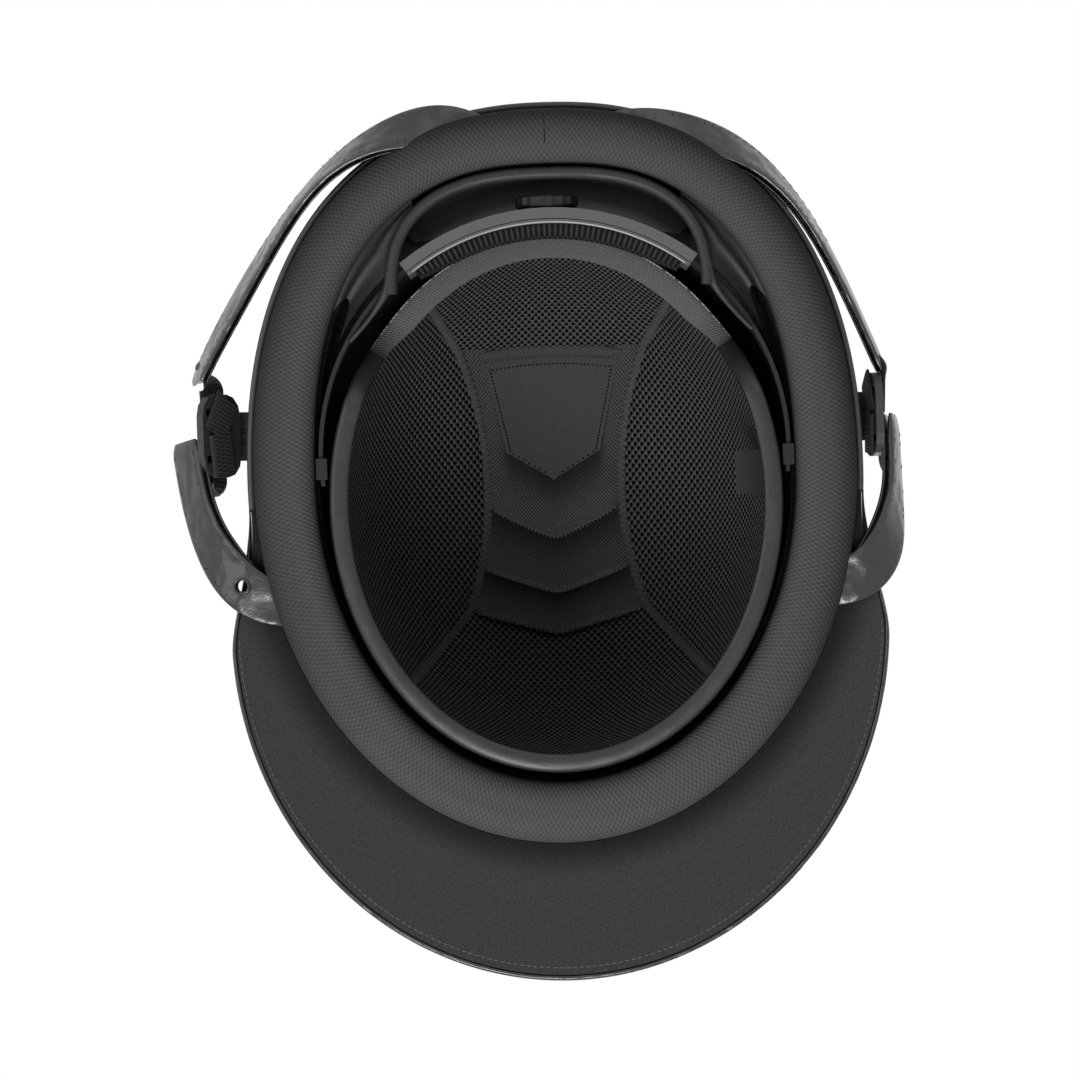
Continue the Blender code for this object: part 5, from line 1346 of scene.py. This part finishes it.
def even_out(items):
    """Average each vector with its neighbours, and keep both ends."""
    last = len(items) - 1
    spans = [min(EASE_REACH, i, last - i) for i in range(last + 1)]
    for _ in range(EASE_PASSES):
        items = [sum(items[i - r:i + r + 1], Vector()) / (2 * r + 1) for i, r in enumerate(spans)]
    return items


def sleeve_frames(route):
    """Middle, width and outer face along a sleeve, with its bends eased."""
    frames = [strap_frame(route, i / SLEEVE_STEPS) for i in range(SLEEVE_STEPS + 1)]
    spots, widths = even_out([f[0] for f in frames]), even_out([f[2] for f in frames])
    eased = []
    for i, spot in enumerate(spots):
        along = (spots[min(i + 1, SLEEVE_STEPS)] - spots[max(i - 1, 0)]).normalized()
        across = (widths[i] - along * widths[i].dot(along)).normalized()
        eased.append((spot, across, along.cross(across)))
    flip = 1.0 if eased[-1][2].dot(Vector((spots[-1].x, spots[-1].y, 0.0))) > 0 else -1.0
    return [(spot, across, face * flip) for spot, across, face in eased]


def add_strap(name, route):
    frames = sleeve_frames(route + SLEEVE_TIPS[name])
    length = sum((b[0] - a[0]).length for a, b in zip(frames, frames[1:]))
    outer, inner = (0.0026, 0.0012) if "rear" in name else (0.0032, 0.0018)
    label = name.removeprefix("strap_")

    def layer(full, flat, width, shift_full, shift_flat, lower):
        def place(u, v):
            spot, across, outward = frames[round(u * SLEEVE_STEPS)]
            stand = smooth((u - STAND_START) / STAND_SPAN)
            tip = 1.0 - max((u - 0.94) / 0.06, 0.0) ** 2 * 0.6
            a, f = ribbon_spot(math.tau * v, width * (0.7 + 0.3 * tip), (flat + (full - flat) * stand) * tip)
            shift = shift_flat + (shift_full - shift_flat) * stand
            return spot + across * (a - lower * stand) + outward * (f + shift)
        return place

    front = layer(outer, ROOT_THICK, STRAP_WIDTH, STAND_SHIFT, ROOT_SHIFT, 0.0)
    sleeve = skin("sleeve_" + label, SLEEVE_STEPS, 32, front, (length, 0.042), fill=True)
    settle(sleeve, LEATHER, [name])
    behind = layer(inner, 0.0008, STRAP_WIDTH - 0.001, 0.0007 - outer / 2 - inner / 2, -0.0013, 0.0005)
    lining = skin("sleeve_lining_" + label, SLEEVE_STEPS, 24, behind, (length, 0.038), fill=True)
    settle(lining, LEATHER)

    def sewing(edge):
        def line(t):
            u = SEW_START + SEW_SPAN * t
            spot, across, outward = frames[round(u * SLEEVE_STEPS)]
            flat, full = ROOT_SHIFT + ROOT_THICK / 2, STAND_SHIFT + outer / 2
            lift = flat + (full - flat) * smooth((u - STAND_START) / STAND_SPAN) - 0.0001
            return spot + across * edge * SEW_EDGE + outward * lift, outward
        return line

    for edge, edge_name in ((1.0, "up"), (-1.0, "low")):
        stitch_row(f"stitch_{label}_{edge_name}", sewing(edge), int(length * SEW_SPAN / SEW_STEP), 0.0022,
                   0.0004, LEATHER)
    return sleeve, lining, frames


sleeves = {name: add_strap(name, route) for name, route in STRAPS.items()}

# %% [markdown]
# The eyelet is a ring through the left front strap. A cylinder cuts the hole through both layers, and
# the ring is a skin round it.

# %% Eyelet
EYELET_STEP, HOLE_RADIUS, RING_RADIUS = 32, 0.0027, 0.00295
RING_WALL, RING_HALF_TALL = 0.00078, 0.0021
sleeve, lining, frames = sleeves["strap_front_left"]
spot, across, face = frames[EYELET_STEP]
bpy.ops.mesh.primitive_cylinder_add(vertices=32, radius=HOLE_RADIUS, depth=0.02, location=spot,
                                    rotation=face.to_track_quat("Z", "Y").to_euler())
cutter = bpy.context.object
for layer in (sleeve, lining):
    activate(layer)
    cut = layer.modifiers.new("hole", "BOOLEAN")
    cut.operation, cut.solver, cut.object = "DIFFERENCE", "EXACT", cutter
    bpy.ops.object.modifier_apply(modifier=cut.name)
    bpy.ops.object.shade_smooth_by_angle(angle=math.radians(50.0))
bpy.data.objects.remove(cutter, do_unlink=True)


def ring_place(u, v):
    a, b = math.tau * u, math.tau * v
    out = across * math.cos(a) + across.cross(face) * math.sin(a)
    return (spot + out * (RING_RADIUS + RING_WALL * math.cos(b))
            + face * signed_power(math.sin(b), 0.7) * RING_HALF_TALL)


eyelet = skin("eyelet_ring", 40, 16, ring_place, (0.0185, 0.009))
settle(eyelet, EYELET, ["strap_eyelet"])
print("straps:", ", ".join(sleeves))

# %% [markdown]
# Webbing runs from each strap's end to the divider plate and through its slot. On the plate's inner
# face the folded ends show as a V.

# %% Dividers
DIVIDERS = {"left": (0.0113, 32.0), "right": (0.0059, 6.0)}
DIVIDER_LONG, DIVIDER_TALL, DIVIDER_THICK = 0.032, 0.024, 0.003
DIVIDER_Y, DIVIDER_Z = 0.0195, 0.027
WEB_WIDTH, WEB_THICK, WEB_ROUND = 0.014, 0.0015, 0.0308
FOLD_LONG, FOLD_WIDTH = 0.016, 0.0135
ENDS = {"front": (-1.0, 8.0), "rear": (1.0, 32.0)}
BACK = Vector((0, 1, 0))


def divider_frame(side_name):
    """The plate's side, middle, upward edge and outer face."""
    side = 1.0 if side_name == "left" else -1.0
    outset, lean = DIVIDERS[side_name]
    turn = math.radians(lean)
    middle = Vector((side * (SHELL_SIZE[0] + TRIM_OUTSET + outset), DIVIDER_Y, DIVIDER_Z))
    up = Vector((-side * math.sin(turn), 0.0, math.cos(turn)))
    return side, middle, up, Vector((side * math.cos(turn), 0.0, math.sin(turn)))


def add_web(side_name, end_name):
    """Webbing from a strap's end onto the plate's outer face."""
    _, middle, up, out = divider_frame(side_name)
    spot, along, across, _ = strap_frame(STRAPS[f"strap_{end_name}_{side_name}"], 1.0)
    plate = BACK * ENDS[end_name][0]
    seat = DIVIDER_THICK / 2 + 0.0003 + 0.0007
    points = [spot - along * 0.004, spot + along * 0.001,
              middle + plate * DIVIDER_LONG * 0.60 + out * (seat + 0.0010),
              middle + plate * DIVIDER_LONG * 0.40 + out * (seat + 0.0006),
              middle + plate * 0.0006 + out * seat]
    widths = [across, across, up, up, up]

    def section(u):
        line = (blend_points(points, u + 0.01) - blend_points(points, u - 0.01)).normalized()
        wide = blend_points(widths, u)
        wide = (wide - line * wide.dot(line)).normalized()
        return blend_points(points, u), wide, line.cross(wide)

    web = ribbon(f"webbing_{end_name}_{side_name}", 40, section, WEB_WIDTH, WEB_THICK, (0.045, WEB_ROUND))
    settle(web, WEBBING, [f"web_{end_name}_{side_name}"])


def add_fold(side_name, end_name):
    """The webbing's folded end on the plate's inner face."""
    _, middle, up, out = divider_frame(side_name)
    ahead, lean = ENDS[end_name]
    lean = math.radians(lean)
    long_way = (BACK * ahead * math.cos(lean) + up * math.sin(lean)).normalized()
    wide = out.cross(long_way).normalized()
    centre = middle + BACK * ahead * DIVIDER_LONG * 0.22 - out * (DIVIDER_THICK / 2 + 0.0009) - up * 0.0015
    fold = ribbon(f"fold_{end_name}_{side_name}", 16,
                  lambda u: (centre + long_way * (u - 0.5) * FOLD_LONG, wide, out), FOLD_WIDTH, WEB_THICK,
                  (FOLD_LONG, WEB_ROUND))
    settle(fold, WEBBING)


for side_name in DIVIDERS:
    for end_name in ENDS:
        add_web(side_name, end_name)
        add_fold(side_name, end_name)

# %% [markdown]
# ## Chin strap
#
# The two halves run from the dividers up over the shell to the buckle on the crown. On the helmet the right
# half bends between the helmet and the buckle's insert when the buckle is opened; here it is one fixed
# shape, left out of the helmet's body.

# %% Chin strap halves
CHIN_WIDTH, CHIN_THICK, CHIN_ROUND, CHIN_LIFT = 0.019, 0.0014, 0.0418, 0.0008
BUCKLE_TALL, BAR_HALF = 0.008, 0.0012
BARS = {"left": -0.0040 + 0.028 - BAR_HALF, "right": 0.0040 + GAP + 0.0157 - BAR_HALF}
RUN_STEPS, LOOP_STEPS, END_STEPS = 90, 16, 6


def shell_height(x, y):
    power = REAR_SQUARENESS if y > 0 else 2.0
    reach = SHELL_SIZE[2] if y > 0 else SHELL_SIZE[1]
    share = (abs(x / SHELL_SIZE[0]) ** power + abs(y / reach) ** power) ** (1.0 / power)
    return SHELL_EDGE + (SHELL_TOP - SHELL_EDGE) * dome_scale(share)


def chin_path(side_name):
    """The strap's middle line, as distance from the mid plane and height."""
    side, middle, up, out = divider_frame(side_name)
    bar, radius = BARS[side_name], BAR_HALF * math.sqrt(2.0) + GAP + CHIN_THICK / 2
    level = shell_height(0.0, DIVIDER_Y) + CHIN_LIFT + BUCKLE_TALL / 2
    edge = DIVIDER_Y - CHIN_WIDTH / 2
    start = middle + up * (WEB_WIDTH / 2 + 0.0006) + out * (DIVIDER_THICK / 2 + GAP + CHIN_THICK / 2)
    marks = [(abs(p.x), p.z) for p in (start, start + up * DIVIDER_TALL * 0.35)]
    for share in (0.985, 0.95, 0.885, 0.79, 0.67, 0.53):
        x = SHELL_SIZE[0] * share
        slope = (shell_height(x + GAP, edge) - shell_height(x - GAP, edge)) / (2 * GAP)
        normal = Vector((-slope, 1.0)).normalized() * (CHIN_LIFT + CHIN_THICK / 2)
        marks.append((x + normal.x, shell_height(x, edge) + normal.y))
    marks += [(bar + CHIN_WIDTH * 0.6, level - radius - CHIN_THICK), (bar + CHIN_THICK * 2, level - radius)]
    points = [Vector((x, 0.0, z)) for x, z in marks]
    run = [blend_points(points, i / RUN_STEPS) for i in range(RUN_STEPS + 1)]
    for i in range(1, LOOP_STEPS + 1):
        turn = math.pi * i / LOOP_STEPS
        run.append(Vector((bar - radius * math.sin(turn), 0.0, level - radius * math.cos(turn))))
    for i in range(1, END_STEPS + 1):
        run.append(Vector((bar + CHIN_WIDTH * 0.55 * i / END_STEPS, 0.0, level + radius)))
    return side, run


def add_chin_strap(side_name):
    side, run = chin_path(side_name)
    steps = len(run) - 1
    length = sum((b - a).length for a, b in zip(run, run[1:]))

    def section(u):
        i = round(u * steps)
        ahead = (run[min(i + 1, steps)] - run[max(i - 1, 0)]).normalized()
        return Vector((side * run[i].x, DIVIDER_Y, run[i].z)), BACK, Vector((-side * ahead.z, 0.0, ahead.x))

    strap = ribbon("chin_" + side_name, steps, section, CHIN_WIDTH, CHIN_THICK, (length, CHIN_ROUND))
    settle(strap, WEBBING, ["chin_strap_" + side_name], "helmet" if side > 0 else None)
    return strap


add_chin_strap("left")
chin_right = add_chin_strap("right")
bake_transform(chin_right)
print("chin strap: two halves")

# %% [markdown]
# ## Finishes of the CAD parts
#
# What stays from the CAD model keeps its shape and place. Only the material in its slot changes.

# %% CAD finishes
CAD_FINISHES = {
    FOAM: ["impact_liner"],
    GREY: ["cradle_cover", "cradle_plate"],
    BLACK: ["dial_knob", "dial_pinion", "side_band_left", "side_band_right", "band_clip_left",
            "band_clip_right", "buckle_socket", "buckle_insert", "buckle_arm_rear", "buckle_arm_front"],
    DIVIDER: ["divider_left", "divider_right"],
    STEEL: ["anchor_front_left", "anchor_front_right", "anchor_rear_left", "anchor_rear_right"],
    HOOK: [f"liner_grip_{i}" for i in range(1, 6)],
}
for finish, names in CAD_FINISHES.items():
    for name in names:
        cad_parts[name].material_slots[0].material = finish
